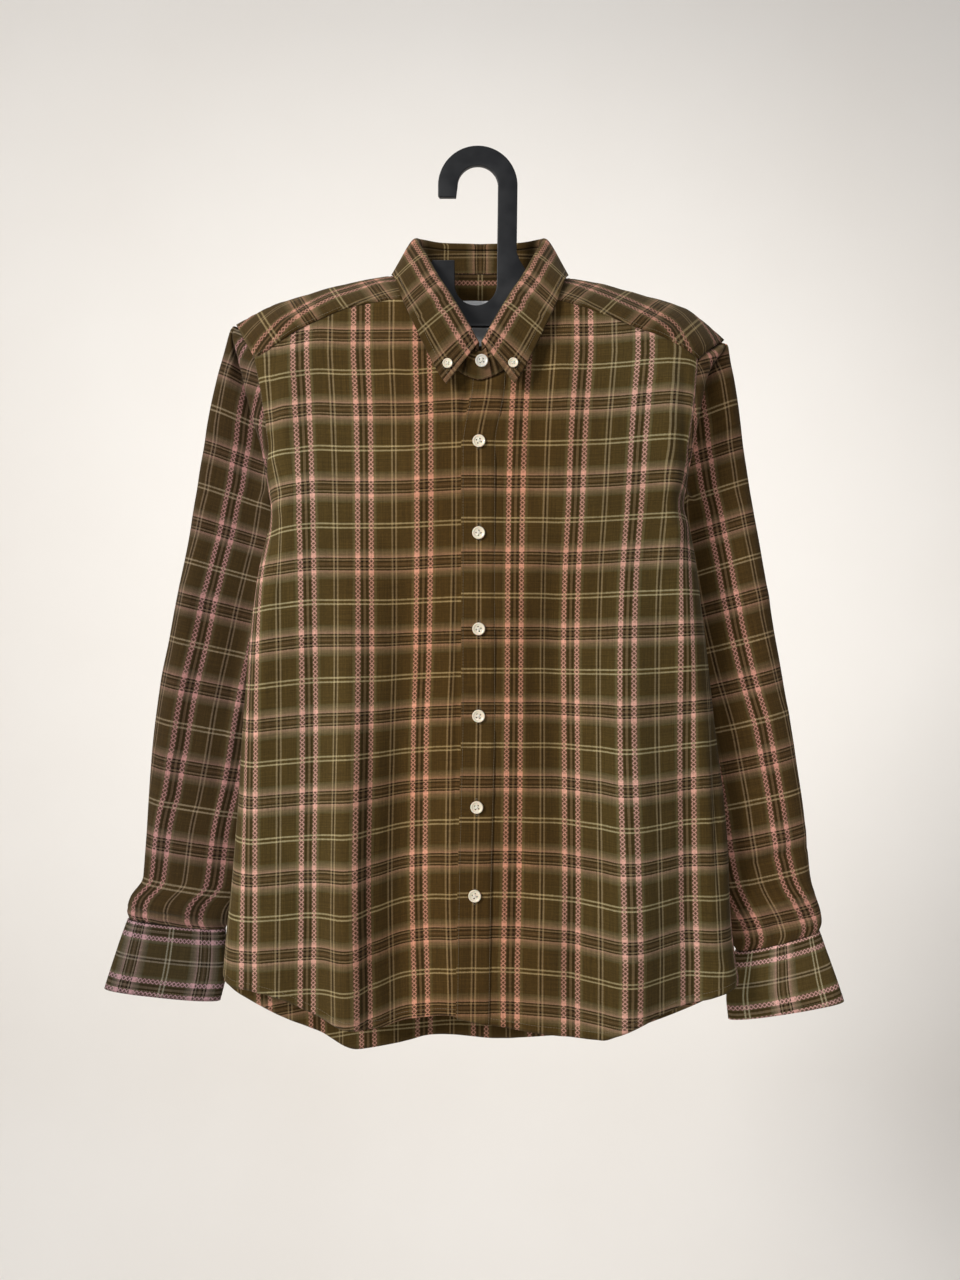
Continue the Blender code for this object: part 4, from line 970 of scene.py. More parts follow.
def cloth_mesh(name, grid, cloth, thick, finish, joined_from=None):
    """A thin shell of cloth on a grid.  From row joined_from on, its last column is its first."""
    rows, columns = grid.shape[:2]
    index = np.zeros((rows, columns), int)
    points = []
    made = 0
    for r in range(rows):
        used = columns - 1 if joined_from is not None and r >= joined_from else columns
        index[r, :used] = np.arange(made, made + used)
        if used < columns:
            index[r, -1] = index[r, 0]
        points.append(grid[r, :used])
        made += used

    def corners(values):
        return np.stack([values[:-1, :-1], values[:-1, 1:], values[1:, 1:], values[1:, :-1]], axis=2)

    mesh = bpy.data.meshes.new(name)
    mesh.from_pydata(metres(np.vstack(points)).tolist(), [], corners(index).reshape(-1, 4).tolist())
    layer = mesh.uv_layers.new(name="cloth")
    layer.data.foreach_set("uv", (corners(cloth) * 0.001).ravel())
    mesh.shade_smooth()
    piece = add_piece(name, mesh, finish)
    shell = piece.modifiers.new("cloth", "SOLIDIFY")
    shell.thickness = thick * 0.001
    shell.offset = 0.0
    shell.use_quality_normals = True
    return piece


def new_object(name, data):
    made = bpy.data.objects.new(name, data)
    bpy.context.scene.collection.objects.link(made)
    return made


def add_piece(name, mesh, finish):
    mesh.materials.clear()
    mesh.materials.append(finish)
    return new_object(name, mesh)


def finished_mesh(made, name):
    """The plain mesh of an object with its modifiers applied.  The object itself is removed."""
    mesh = bpy.data.meshes.new_from_object(made.evaluated_get(bpy.context.evaluated_depsgraph_get()))
    bpy.data.objects.remove(made, do_unlink=True)
    mesh.name = name
    return mesh


def closed_mesh(work, mesh):
    """Puts a bmesh into a mesh, with its faces turned outwards."""
    bmesh.ops.recalc_face_normals(work, faces=work.faces)
    work.to_mesh(mesh)
    work.free()
    return mesh


def bridge(work, rings):
    """Faces from each ring of vertices to the next; a ring of one vertex closes an end."""
    for low, high in zip(rings, rings[1:]):
        count = max(len(low), len(high))
        for k in range(count):
            n = (k + 1) % count
            ring = [low[k % len(low)], low[n % len(low)], high[n % len(high)], high[k % len(high)]]
            work.faces.new(list(dict.fromkeys(ring)))


# ---- writing node trees ----
class Net:
    """A short way to write a node tree: each call adds a node and gives its first output."""

    def __init__(self, tree):
        self.tree = tree

    def link(self, value, socket):
        self.tree.links.new(value, socket)

    def add(self, kind, *inputs, **settings):
        node = self.tree.nodes.new(kind)
        for name, value in settings.items():
            setattr(node, name, value)
        for socket, value in zip(node.inputs, inputs):
            if isinstance(value, bpy.types.NodeSocket):
                self.link(value, socket)
            elif value is not None:
                socket.default_value = value
        return node.outputs[0]

    def math(self, operation, *inputs):
        return self.add("ShaderNodeMath", *inputs, operation=operation)

    def vector(self, operation, *inputs):
        return self.add("ShaderNodeVectorMath", *inputs, operation=operation)

    def span(self, value, low, high, to_low, to_high):
        return self.add("ShaderNodeMapRange", value, low, high, to_low, to_high)

    def place(self):
        return self.add("ShaderNodeTexCoord").node.outputs["Object"]

    def noise(self, where, scale, detail=2.0, roughness=0.5):
        out = self.add("ShaderNodeTexNoise", where)
        for label, value in (("Scale", scale), ("Detail", detail), ("Roughness", roughness)):
            out.node.inputs[label].default_value = value
        return out

    def bump(self, height, distance, strength=1.0):
        out = self.add("ShaderNodeBump", strength)
        out.node.inputs["Distance"].default_value = distance
        self.link(height, out.node.inputs["Height"])
        return out

    def ramp(self, place, stops):
        """Colours at places from 0 to 1."""
        out = self.add("ShaderNodeValToRGB", place)
        elements = out.node.color_ramp.elements
        elements[0].position, elements[1].position = stops[0][0], stops[-1][0]
        elements[0].color, elements[1].color = (*stops[0][1], 1.0), (*stops[-1][1], 1.0)
        for at, colour in stops[1:-1]:
            elements.new(at).color = (*colour, 1.0)
        return out

    def blend(self, factor, a, b, kind="MIX"):
        """One colour over another; the colours are the Mix node's seventh and eighth inputs."""
        out = self.add("ShaderNodeMix", factor, *[None] * 5, a, b, data_type="RGBA", blend_type=kind)
        return out.node.outputs[2]


def stripe_stops(widths, length, soft=0.16):
    """Ramp stops for stripes given as (far edge, colour); a colour pair fades from one to the other."""
    stops = []
    start = 0.0
    for end, *colours in widths:
        stops.append((max(0.0, start + (soft if start else 0.0)) / length, colours[0]))
        stops.append(((end - (soft if end < length else 0.0)) / length, colours[-1]))
        start = end
    return stops


# Yarn colours, linear.
GROUND = (0.055, 0.0345, 0.0085)
GREEN = (0.070, 0.058, 0.021)
CREAM_WARP = (0.270, 0.205, 0.106)
CREAM_WEFT = (0.400, 0.335, 0.175)
CREAM_DIM = (0.240, 0.175, 0.095)
DARK = (0.012, 0.006, 0.002)
BLACK = (0.002, 0.001, 0.0005)
TAN = (0.150, 0.100, 0.050)
BURGUNDY = (0.118, 0.060, 0.042)
PINK = (0.640, 0.350, 0.270)
SALMON = (0.610, 0.320, 0.240)
ZONE = (0.076, 0.044, 0.018)
PEACH = (0.405, 0.248, 0.160)
PEACH_DIM = (0.190, 0.135, 0.072)
MOSS = (0.165, 0.125, 0.055)

# Warp stripes by distance from the middle of a pink pair, and weft bands from the middle of a band.
WARP_STRIPES = [
    (1.2, TAN), (3.4, DARK), (4.1, GREEN), (9.1, BURGUNDY), (12.1, MOSS, GREEN), (25.95, GROUND, GROUND),
    (27.6, CREAM_WARP), (WARP / 2, DARK)]
WEFT_BANDS = [
    (0.35, TAN), (1.95, ZONE), (3.0, BLACK), (3.45, ZONE), (4.45, CREAM_DIM), (4.95, ZONE), (6.0, BLACK),
    (9.5, PEACH, PEACH_DIM), (14.5, PEACH_DIM, GREEN), (33.25, GROUND), (34.75, CREAM_WEFT),
    (WEFT / 2, GROUND)]
CHAIN = (6.6, 2.35, 2.05)    # from the pair's middle, half its width, half a diamond's height
SOLID = (6.0, 8.0, 11.5)     # from a band's middle: where the chain is solid salmon, up to where, gone by
PAINTED_SHEEN_SPAN = (60.0, 165.0)     # millimetres across a panel between which its brown turns to green
# Painted sheen: between these millimetres across a panel its brown turns to a lighter green.
NAP_DRAG = 0.0012            # metres that the nap drags a yarn's colour
TWILL = 0.9                  # millimetres from one diagonal rib to the next
# The green cast is lighter than the brown one; towards a panel's sides it is a painted sheen, elsewhere the
# green drifts at random.
BROWN_CAST = (0.98, 0.83, 0.70)
GREEN_CAST = (1.03, 1.07, 1.14)


def node_group(name, kind, inputs, outputs):
    """A node group, its net, the sockets that it is given and those that it gives."""
    group = bpy.data.node_groups.new(name, kind)
    for way, sockets in (("INPUT", inputs), ("OUTPUT", outputs)):
        for label, value in sockets:
            group.interface.new_socket(label, in_out=way, socket_type="NodeSocket" + value)
    entry = group.nodes.new("NodeGroupInput")
    leave = group.nodes.new("NodeGroupOutput")
    return group, Net(group), entry.outputs, leave.inputs


def woven_plaid():
    """Colour and relief of the brushed twill, from cloth coordinates in metres."""
    group, net, entry, leave = node_group(
        "woven plaid", "ShaderNodeTree",
        [("Cloth", "Vector"), ("Nap", "Float"), ("Tint", "Color"), ("Green", "Float"), ("Spread", "Float")],
        [("Color", "Color"), ("Height", "Float")])
    where = entry["Cloth"]
    # The brushed nap drags the yarn colours a little over each other.
    fuzz = net.noise(where, 1500.0).node.outputs["Color"]
    drag = net.vector("SCALE", net.vector("SUBTRACT", fuzz, (0.5, 0.5, 0.5)), None, None, NAP_DRAG)
    scaled = net.vector("SCALE", net.vector("ADD", where, drag), None, None, 1000.0)
    split = net.add("ShaderNodeSeparateXYZ", scaled).node.outputs
    across, down = split["X"], split["Y"]
    from_pair = net.math("PINGPONG", across, WARP / 2)
    from_band = net.math("PINGPONG", down, WEFT / 2)
    warp = net.ramp(net.math("DIVIDE", from_pair, WARP / 2), stripe_stops(WARP_STRIPES, WARP / 2))
    weft = net.ramp(net.math("DIVIDE", from_band, WEFT / 2), stripe_stops(WEFT_BANDS, WEFT / 2))
    # Two-and-two twill: which yarn lies on top steps along diagonals.
    diagonal = net.math("PINGPONG", net.math("ADD", across, down), TWILL)
    warp_on_top = net.math("MULTIPLY_ADD", diagonal, 0.34, 0.34)
    plain = net.blend(warp_on_top, weft, warp)
    # The chain: pink diamonds floated over a dark ground, solid where a band's peach yarns cross it.
    uneven = net.math("MULTIPLY_ADD", net.noise(where, 700.0), 1.5, down)
    column = net.math("DIVIDE", net.math("ABSOLUTE", net.math("SUBTRACT", from_pair, CHAIN[0])), CHAIN[1])
    rung = net.math("DIVIDE", net.math("PINGPONG", uneven, CHAIN[2]), CHAIN[2])
    near = net.math("ABSOLUTE", net.math("SUBTRACT", column, rung))
    inside = net.span(column, 0.95, 1.12, 1.0, 0.0)
    chain = net.math("MULTIPLY", net.span(near, 0.06, 0.40, 1.0, 0.0), inside)
    colour = net.blend(chain, plain, net.blend(0.28, (*PINK, 1.0), weft))
    begun = net.span(from_band, SOLID[0] - 0.5, SOLID[0], 0.0, 1.0)
    ended = net.span(from_band, SOLID[1], SOLID[2], 0.82, 0.0)
    solid = net.math("MULTIPLY", net.math("MULTIPLY", begun, ended), inside)
    colour = net.blend(solid, colour, (*SALMON, 1.0))
    # Slubs: some warp and weft yarns are darker than their neighbours.
    streaks = [net.span(net.noise(net.vector("MULTIPLY", where, stretch), 1.0), 0.3, 0.7, 0.84, 1.16)
               for stretch in ((900.0, 26.0, 1.0), (26.0, 900.0, 1.0))]
    # Uneven dye and lint.
    lint = net.noise(where, 420.0, 6.0, 0.72)
    broad = net.noise(where, 9.0)
    shade = net.span(lint, 0.25, 0.75, 0.80, 1.22)
    worn = net.span(broad, 0.3, 0.7, 0.93, 1.07)
    tone = net.math("MULTIPLY", net.math("MULTIPLY", shade, worn), net.math("MULTIPLY", *streaks))
    # A painted sheen turns a panel's brown to a lighter green towards its sides, as far as spread lets it;
    # broad noise also drifts the green at random.
    away = net.span(net.math("ABSOLUTE", across), *PAINTED_SHEEN_SPAN, 0.0, 1.0)
    drift = net.math("MULTIPLY_ADD", net.math("SUBTRACT", broad, 0.5), 1.1, entry["Green"])
    green = net.math("MULTIPLY_ADD", away, entry["Spread"], drift)
    green.node.use_clamp = True
    cast = net.blend(green, (*BROWN_CAST, 1.0), (*GREEN_CAST, 1.0))
    for layer in (net.add("ShaderNodeCombineColor", tone, tone, tone), entry["Tint"], cast):
        colour = net.blend(1.0, colour, layer, "MULTIPLY")
    net.link(colour, leave["Color"])
    ribs = net.math("MULTIPLY", diagonal, 0.5)
    lifted = net.math("MULTIPLY_ADD", net.math("SUBTRACT", lint, 0.5), entry["Nap"], ribs)
    net.link(lifted, leave["Height"])
    return group


def new_material(name, **plain):
    """A material, its net and its shader's inputs.  In the names of plain constants _ stands for a space."""
    made = bpy.data.materials.new(name)
    made.use_nodes = True
    shader = made.node_tree.nodes["Principled BSDF"].inputs
    for label, value in plain.items():
        shader[label.replace("_", " ")].default_value = value
    return made, Net(made.node_tree), shader


def flannel(name, plaid, tint=(1.0, 1.0, 1.0), green=0.4, spread=0.0, nap=2.2):
    """Brushed flannel: tint scales its colour, a painted shade or painted light on some pieces; green turns
    its brown to green, and spread adds a painted sheen that makes it lighter and greener towards a panel's
    sides.
    """
    made, net, shader = new_material(
        name, Roughness=0.94, Specular_IOR_Level=0.08, Sheen_Weight=0.05, Sheen_Roughness=0.55,
        Sheen_Tint=(0.95, 0.90, 0.78, 1.0))
    where = net.add("ShaderNodeUVMap", uv_map="cloth")
    colour = net.add("ShaderNodeGroup", where, nap, (*tint, 1.0), green, spread, node_tree=plaid)
    net.link(colour, shader["Base Color"])
    net.link(net.bump(colour.node.outputs["Height"], 0.00035, 0.55), shader["Normal"])
    return made


def declare(piece, nodes):
    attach(piece, "root")
    if nodes:
        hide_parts(*nodes)


def sewn(name, grid, cloth, thick, finish, joined_from=None):
    """A finished cloth piece in place of its solid.  Gives back its grid."""
    piece = cloth_mesh(name + "_cloth", grid, cloth, thick, finish, joined_from)
    declare(piece, [name])
    return grid


def make_front(side, plaid):
    grid, unrolled = front_grid(side)
    height = grid[..., 2]
    columns = np.linspace(0, 1, grid.shape[1])[None, :]
    lift = panel_relief(FRONT_CREASES[side], grid, 3 + side, (0.8, 46, 120), (0.35, 19, 60))
    at_armhole = fade(height, UNDERARM - 40, UNDERARM)
    lift += puckers(height, (1 - columns) * 240, 11, 9, 33 + side) * 0.9 * at_armhole
    lift *= fade(height, grid[:1, :, 2] - 2, grid[:1, :, 2] - 14) * 0.8 + 0.2
    lift *= 1 - 0.75 * fade(columns, 0.94, 1.0)
    name = "front_" + side_name(side)
    # spread lays a painted sheen on the front, lighter and greener towards its side.
    return sewn(name, raised(grid, lift, FORWARD), front_cloth(side, unrolled, height), CLOTH,
                flannel("flannel " + name, plaid, green=0.05, spread=0.85))


def make_back(plaid):
    grid = back_grid()
    x, height = grid[..., 0], grid[..., 2]
    run = across_run(grid, grid.shape[1] // 2)
    edge = np.where(x < 0, np.abs(grid[:, :1, 0]), np.abs(grid[:, -1:, 0]))
    hang = np.where(x < 0, sag(-1, point(-216), height), sag(1, point(216), height)) * (np.abs(x) / edge) ** 2
    cloth = np.stack([run, stepped(BANDS, height + hang)], axis=-1)
    lift = panel_relief(BACK_CREASES, grid, 5, (0.9, 50, 130), (0.4, 21, 64))
    lift *= fade(height, grid[:1, :, 2] - 2, grid[:1, :, 2] - 16) * 0.85 + 0.15
    reach = np.broadcast_to(np.abs(run[:, :1]), run.shape)
    lift *= fade(np.abs(run), reach, reach - 14)
    return sewn("back_panel", raised(grid, lift, BACKWARD), cloth, CLOTH, flannel("flannel back", plaid))


def unfolded(side, station):
    """A section of the yoke, each point with its place on the cloth laid flat."""
    line, crest = yoke_section(side, station)
    run = run_of(line)
    plane = line[:, ::2]
    rise = read(SHOULDER, side_name(side), CREST_END) - read(SHOULDER, side_name(side), CREST_NECK)
    along = unit(point(side * (CREST_END - CREST_NECK), rise))
    back = unit(plane[-1] - plane[crest])
    flat = plane[crest] + (run - run[crest])[:, None] * back
    if crest:
        front = unit(plane[0] - plane[crest])
        front = 2 * np.dot(front, along) * along - front
        flat[:crest] = plane[crest] + (run[crest] - run[:crest])[:, None] * front
    # The back's stripes are counted from the back seam, the front's from the shoulder's crest.
    length = run[-1] - run[crest]
    spare = length - np.linalg.norm(plane[-1] - plane[crest])
    share = np.maximum(fade((run - run[crest]) / length, 0.0, 0.45), fade(station, 1.0, 1.4))
    flat -= (spare * share)[:, None] * back
    return np.column_stack([line, flat])


def make_yoke(plaid):
    columns, steps, levels = YOKE_GRID
    spread = [2 * column / (columns - 1) - 1 for column in range(columns)]
    rows = [evenly(unfolded(-1 if s < 0 else 1, 2 * (1 - abs(s))), levels) for s in spread]
    whole = finer(np.array(rows), steps)
    grid, flat = whole[..., :3], whole[..., 3:]
    across, down = flat[..., 0], flat[..., 1]
    cloth = np.stack([down - YOKE_PAIR, mirrored(np.abs(across - CENTRE), YOKE_BAND)], axis=-1)
    lift = creased(YOKE_CREASES, grid[..., 0], grid[..., 2]) * (grid[..., 1] < 12)
    lift += 0.5 * waves(across, down, 34, 40, 7)
    edge = np.linspace(0, 1, grid.shape[1])[None, :] * 130
    lift += puckers(across, edge, 10, 8, 27) * 0.5 + 0.55 * fade(edge, 5.5, 3.0)
    # The yoke's colour scale is a painted shade.
    return sewn("yoke", raised(grid, lift, UP), cloth, CLOTH, flannel("flannel yoke", plaid, YOKE_PAINTED_SHADE))


def make_sleeve(side, plaid):
    grid, joined = sleeve_grid(side)
    turn = SLEEVE_GRID[0]
    x, height = np.abs(grid[..., 0]), grid[..., 2]
    hang = SLEEVE_HANG[side]
    run = across_run(grid, turn)
    column = np.arange(grid.shape[1])[None, :]
    # The underarm seam lies on the front: past the fold at the body the stripes go on from the seam's near
    # side.
    fold = turn + np.argmin(x[:, turn:], axis=1)[:, None]
    round_front = (column > fold) & (np.arange(len(grid))[:, None] >= joined)
    counted = np.where(round_front, run[:, :1] + run - run[:, -1:], run)
    across = read(hang, "pair", height[:, turn:turn + 1]) + SLEEVE_ROUND + counted
    inward = x[:, turn:turn + 1] - x
    level = height + inward * np.tan(np.radians(read(hang, "slope", height)))
    cloth = np.stack([side * across, stepped(SLEEVE_BANDS[side], level)], axis=-1)
    front_half = np.where(round_front, fade(column, fold, fold + 6), fade(column, turn + 3, turn - 3))
    lift = creased(SLEEVE_CREASES[side], grid[..., 0], height) * front_half
    lift += creased(SLEEVE_BACK_CREASES, x, height) * (1 - front_half)
    lift += soft_waves(run, height, 9 + side, (0.9, 30, 70), (0.4, 14, 40))
    lift += 0.6 * waves(run, height, 8, 60, 29 + side) * fade(height - grid[-1:, :, 2], 46, 6)
    lift *= 0.25 + 0.75 * fade(np.minimum(column, grid.shape[1] - 1 - column), 0, 6)
    name = "sleeve_" + side_name(side)
    # The sleeve's colour scale is a painted shade.
    return sewn(name, raised(grid, lift, None, joined), cloth, CLOTH,
                flannel("flannel " + name, plaid, SLEEVE_PAINTED_SHADE[side], 0.70),
                joined)


def make_cuff(side, plaid):
    grid = cuff_grid(side)
    run, down = distances(grid, 1), distances(grid, 0)
    top = grid[0]
    middle = (top[:, 0].min() + top[:, 0].max()) / 2
    on_the_front = top[:, 1] < CUFF_RINGS[side][0].middle
    front = int(np.argmin(np.where(on_the_front, np.abs(top[:, 0] - middle), np.inf)))
    around = np.broadcast_to((run - run[:, front:front + 1]).mean(axis=0), run.shape)
    cloth = np.stack([down - CUFF_CREAM + WARP / 2, side * around + CUFF_BAND[side]], axis=-1)
    lift = 0.5 * waves(run, down, 26, 40, 11 + side) + 0.35 * puckers(run, down, 7, 6, 21 + side)
    lift += 0.3 * puckers(run, down[-1:] - down, 7, 6, 31 + side)
    name = "cuff_" + side_name(side)
    # The cuff's colour scale is a painted shade on the wearer's right and a painted light on the wearer's
    # left.
    return sewn(name, raised(grid, lift, None), cloth, FACED,
                flannel("flannel " + name, plaid, CUFF_PAINTED_LIGHT_AND_SHADE[side], 0.90))


def make_sleeve_placket(side, plaid):
    width, length = SLEEVE_PLACKET
    low = SLEEVE_RINGS[side][-1].outer_height + 2.5
    grid = np.array([[point(*sleeve_surface(side, 0.12 + width / 50.0 * t, height))
                      for t in np.linspace(-0.5, 0.5, 14)] for height in np.linspace(low + length, low, 60)])
    grid[..., 1] += CLOTH + LAY_GAP + 1.1
    cloth = np.stack([across_run(grid, 7) + WARP / 2, -grid[..., 2]], axis=-1)
    name = "sleeve_placket_" + side_name(side)
    sewn(name, grid, cloth, CLOTH, flannel("flannel " + name, plaid))


def collar_band(grid):
    """Cloth coordinate along the collar, from a band that crosses the roll near both its points."""
    roll = np.array(collar_lines(COLLAR_STEPS)[1])
    run = run_of(roll)
    middle = run[len(run) // 2]
    near = np.argmin(np.abs(roll[:len(run) // 2, 2] - LEAF_BAND_HEIGHT))
    distance = np.abs(run - middle)
    extra = len(grid) - len(run)
    if extra > 0:
        distance = np.concatenate([distance, distance[-1] + STAND_OVER * np.arange(1, extra + 1) / extra])
    return mirrored(distance, distance[near])


def make_leaf(plaid):
    grid = leaf_grid()
    section = distances(grid, 1)
    roll = np.argmax(grid[..., 2], axis=1)[:, None]
    from_roll = section - np.take_along_axis(section, roll, axis=1)
    band = np.broadcast_to(collar_band(grid)[:, None], from_roll.shape)
    cloth = np.stack([from_roll - LEAF_PAIR, band], axis=-1)
    along = run_of(grid[:, -1])[:, None]
    to_edge = section[:, -1:] - section
    lift = 0.45 * waves(along, section, 30, 30, 8) + 0.35 * puckers(along, to_edge, 8, 6, 18)
    lift *= fade(section, 3, 14)
    # The leaf's colour scale is a painted shade.
    return sewn("collar_leaf", raised(grid, lift, UP), cloth, FACED,
                flannel("flannel collar leaf", plaid, COLLAR_PAINTED_SHADE))


def make_stand(plaid):
    grid = stand_grid()
    height = distances(grid, 1)
    band = np.broadcast_to(collar_band(grid)[:, None], height.shape)
    cloth = np.stack([height - STAND_PAIR, band], axis=-1)
    along = run_of(grid[:, 0])[:, None]
    lift = 0.3 * waves(along, height, 24, 20, 6) + 0.3 * puckers(along, height, 7, 5, 16)
    # The stand's colour scale is a painted shade.
    return sewn("collar_stand", raised(grid, lift, None), cloth, FACED,
                flannel("flannel collar stand", plaid, COLLAR_PAINTED_SHADE))


def make_placket(plaid):
    levels, columns = PLACKET_GRID
    edge = PLACKET_WIDTH / 2
    across = np.linspace(-edge, edge, columns)[None, :]
    hem = read(FRONT_HEM, "height", across) + 0.5
    seam = read(CENTRE_FRONT, "x", COLLAR[0].neck[2]) + PLACKET_LEAN + across
    top = top_of_front(1, np.maximum(seam, CENTRE)) + TUCKED - 0.5
    height = mix(top, hem, np.linspace(0.0, 1.0, levels)[:, None])
    x = read(CENTRE_FRONT, "x", height) + across + PLACKET_LEAN * fade(height, -178, -116)
    y = front_depth(x, height) - (CLOTH + PLACKET_THICK) / 2 - LAY_GAP + 1.6 * fade(height, top - 6, top - 1)
    grid = np.stack([x, y, height], axis=-1)
    across = np.broadcast_to(across, height.shape)
    cloth = np.stack([across + WARP / 2, stepped(BANDS, height)], axis=-1)
    lift = creased(PLACKET_CREASES, x, height) + 0.45 * waves(across, height, 16, 44, 12)
    lift += (puckers(height, across + edge, 8, 4, 22) + puckers(height, across - edge, 8, 4, 32)) * 0.5
    lift -= 1.5 * fade(across, edge - 4.5, edge)
    return sewn("button_placket", raised(grid, lift, FORWARD), cloth, PLACKET_THICK,
                flannel("flannel placket", plaid, PLACKET_TINT, 0.05))


# ---- label, buttons, hanger ----
def make_label():
    width, tall, thick = LABEL
    top = -12.0
    rows = []
    for height in np.linspace(top, top - tall, 24):
        row = []
        for x in CENTRE + width * np.linspace(-0.5, 0.5, 26):
            line = yoke_section(-1 if x < CENTRE else 1, 2.0 - min(0.6, abs(x - CENTRE) / 90.0))[0]
            nearest = line[np.argmin(np.abs(line[:, 2] - height) + 0.3 * np.abs(line[:, 0] - x))]
            row.append(point(x, nearest[1] - CLOTH - LAY_GAP - 1.0, height))
        rows.append(row)
    grid = np.array(rows)
    x, y, height = np.moveaxis(grid, -1, 0)
    grid[..., 1] = (y + y.mean()) / 2 - 0.6 * (1 + waves(x, height, 12, 30, 4))
    sewn("neck_label", grid, np.stack([x, -height], axis=-1), thick, satin())


def satin():
    made, net, shader = new_material("label satin", Roughness=0.32, Sheen_Weight=0.3)
    where = net.add("ShaderNodeUVMap", uv_map="cloth")
    lines = net.add("ShaderNodeTexWave", where, 900.0, 1.2, wave_type="BANDS", bands_direction="Y")
    net.link(net.ramp(lines, [(0.0, (0.90, 0.90, 0.90)), (1.0, (0.97, 0.97, 0.96))]), shader["Base Color"])
    net.link(net.bump(lines, 0.00008), shader["Normal"])
    return made


def resin(name, tint):
    """Cream button resin, slightly cloudy."""
    made, net, shader = new_material(name, Subsurface_Weight=0.15, Subsurface_Scale=0.002, Coat_Weight=0.15)
    cloud = net.noise(net.place(), 240.0, 3.0)
    light = tuple(min(1.0, c * 1.12) for c in tint)
    net.link(net.ramp(cloud, [(0.3, tint), (0.7, light)]), shader["Base Color"])
    net.link(net.span(cloud, 0.2, 0.8, 0.24, 0.40), shader["Roughness"])
    return made


def thread(name, tint):
    made, net, shader = new_material(name, Roughness=0.75, Sheen_Weight=0.2)
    twist = net.noise(net.place(), 3000.0)
    net.link(net.ramp(twist, [(0.35, tuple(c * 0.7 for c in tint)), (0.65, tint)]), shader["Base Color"])
    return made


def moulded_plastic():
    made, net, shader = new_material("hanger plastic", Specular_IOR_Level=0.32)
    where = net.place()
    scuff = net.noise(where, 60.0, 5.0)
    shade = net.ramp(scuff, [(0.35, (0.0055, 0.0060, 0.0073)), (0.75, (0.0100, 0.0106, 0.0124))])
    net.link(shade, shader["Base Color"])
    net.link(net.span(scuff, 0.3, 0.8, 0.38, 0.56), shader["Roughness"])
    net.link(net.bump(net.noise(where, 1600.0, 3.0), 0.00006, 0.35), shader["Normal"])
    return made


def make_hanger():
    curve = bpy.data.curves.new("hanger_body", "CURVE")
    curve.dimensions = "2D"
    curve.fill_mode = "BOTH"
    outline = hanger_outline()
    spline = curve.splines.new("POLY")
    spline.points.add(len(outline) - 1)
    for dot, (x, z) in zip(spline.points, outline):
        dot.co = (x * 0.001, z * 0.001, 0.0, 1.0)
    spline.use_cyclic_u = True
    bevel = 0.8
    curve.offset = -bevel * 0.001
    curve.extrude = (HANGER_THICK / 2 - bevel) * 0.001
    curve.bevel_depth = bevel * 0.001
    curve.bevel_resolution = 3
    mesh = finished_mesh(new_object("hanger_body", curve), "hanger_body")
    mesh.transform(Matrix(((1, 0, 0, 0), (0, 0, -1, 0), (0, 1, 0, 0), (0, 0, 0, 1))))
    work = bmesh.new()
    work.from_mesh(mesh)
    bmesh.ops.remove_doubles(work, verts=work.verts, dist=1e-6)
    smooth_by_angle(closed_mesh(work, mesh), 35)
    declare(add_piece("hanger_body", mesh, moulded_plastic()), ["hanger"])


def smooth_by_angle(mesh, degrees):
    """Smooth shading but for edges sharper than an angle."""
    mesh.shade_smooth()
    mesh.set_sharp_from_angle(angle=math.radians(degrees))


def button_mesh(name, diameter, thick, holes):
    """A button facing +Z with its underside at 0: a raised rim round a dished middle with its holes."""
    profile = [(0.0, 0.0), (0.80, 0.0), (0.97, 0.34), (1.0, 0.60), (0.985, 0.80), (0.93, 0.97), (0.86, 1.0),
               (0.78, 0.95), (0.70, 0.80), (0.60, 0.72), (0.30, 0.68), (0.0, 0.67)]
    around = [2 * math.pi * k / BUTTON_TURNS for k in range(BUTTON_TURNS)]
    work = bmesh.new()
    rings = []
    for across, up in profile:
        radius = across * diameter / 2
        angles = around if across else [0.0]
        ring = [(radius * math.cos(a), radius * math.sin(a), up * thick) for a in angles]
        rings.append([work.verts.new(place) for place in ring])
    bridge(work, rings)
    solid = new_object(name + "_blank", closed_mesh(work, bpy.data.meshes.new(name)))
    drill = bmesh.new()
    for x, y in ((-1, -1), (1, -1), (1, 1), (-1, 1)):
        made = bmesh.ops.create_cone(drill, cap_ends=True, segments=12, radius1=holes[1], radius2=holes[1],
                                     depth=thick * 4)
        bmesh.ops.translate(drill, verts=made["verts"], vec=(x * holes[0], y * holes[0], 0))
    cutter_mesh = bpy.data.meshes.new(name + "_drill")
    drill.to_mesh(cutter_mesh)
    drill.free()
    cut = solid.modifiers.new("holes", "BOOLEAN")
    cut.operation = "DIFFERENCE"
    cut.object = new_object(name + "_drill", cutter_mesh)
    cut.solver = "EXACT"
    bpy.context.view_layer.update()
    cutter = cut.object
    mesh = finished_mesh(solid, name)
    bpy.data.objects.remove(cutter, do_unlink=True)
    smooth_by_angle(mesh, 40)
    return mesh


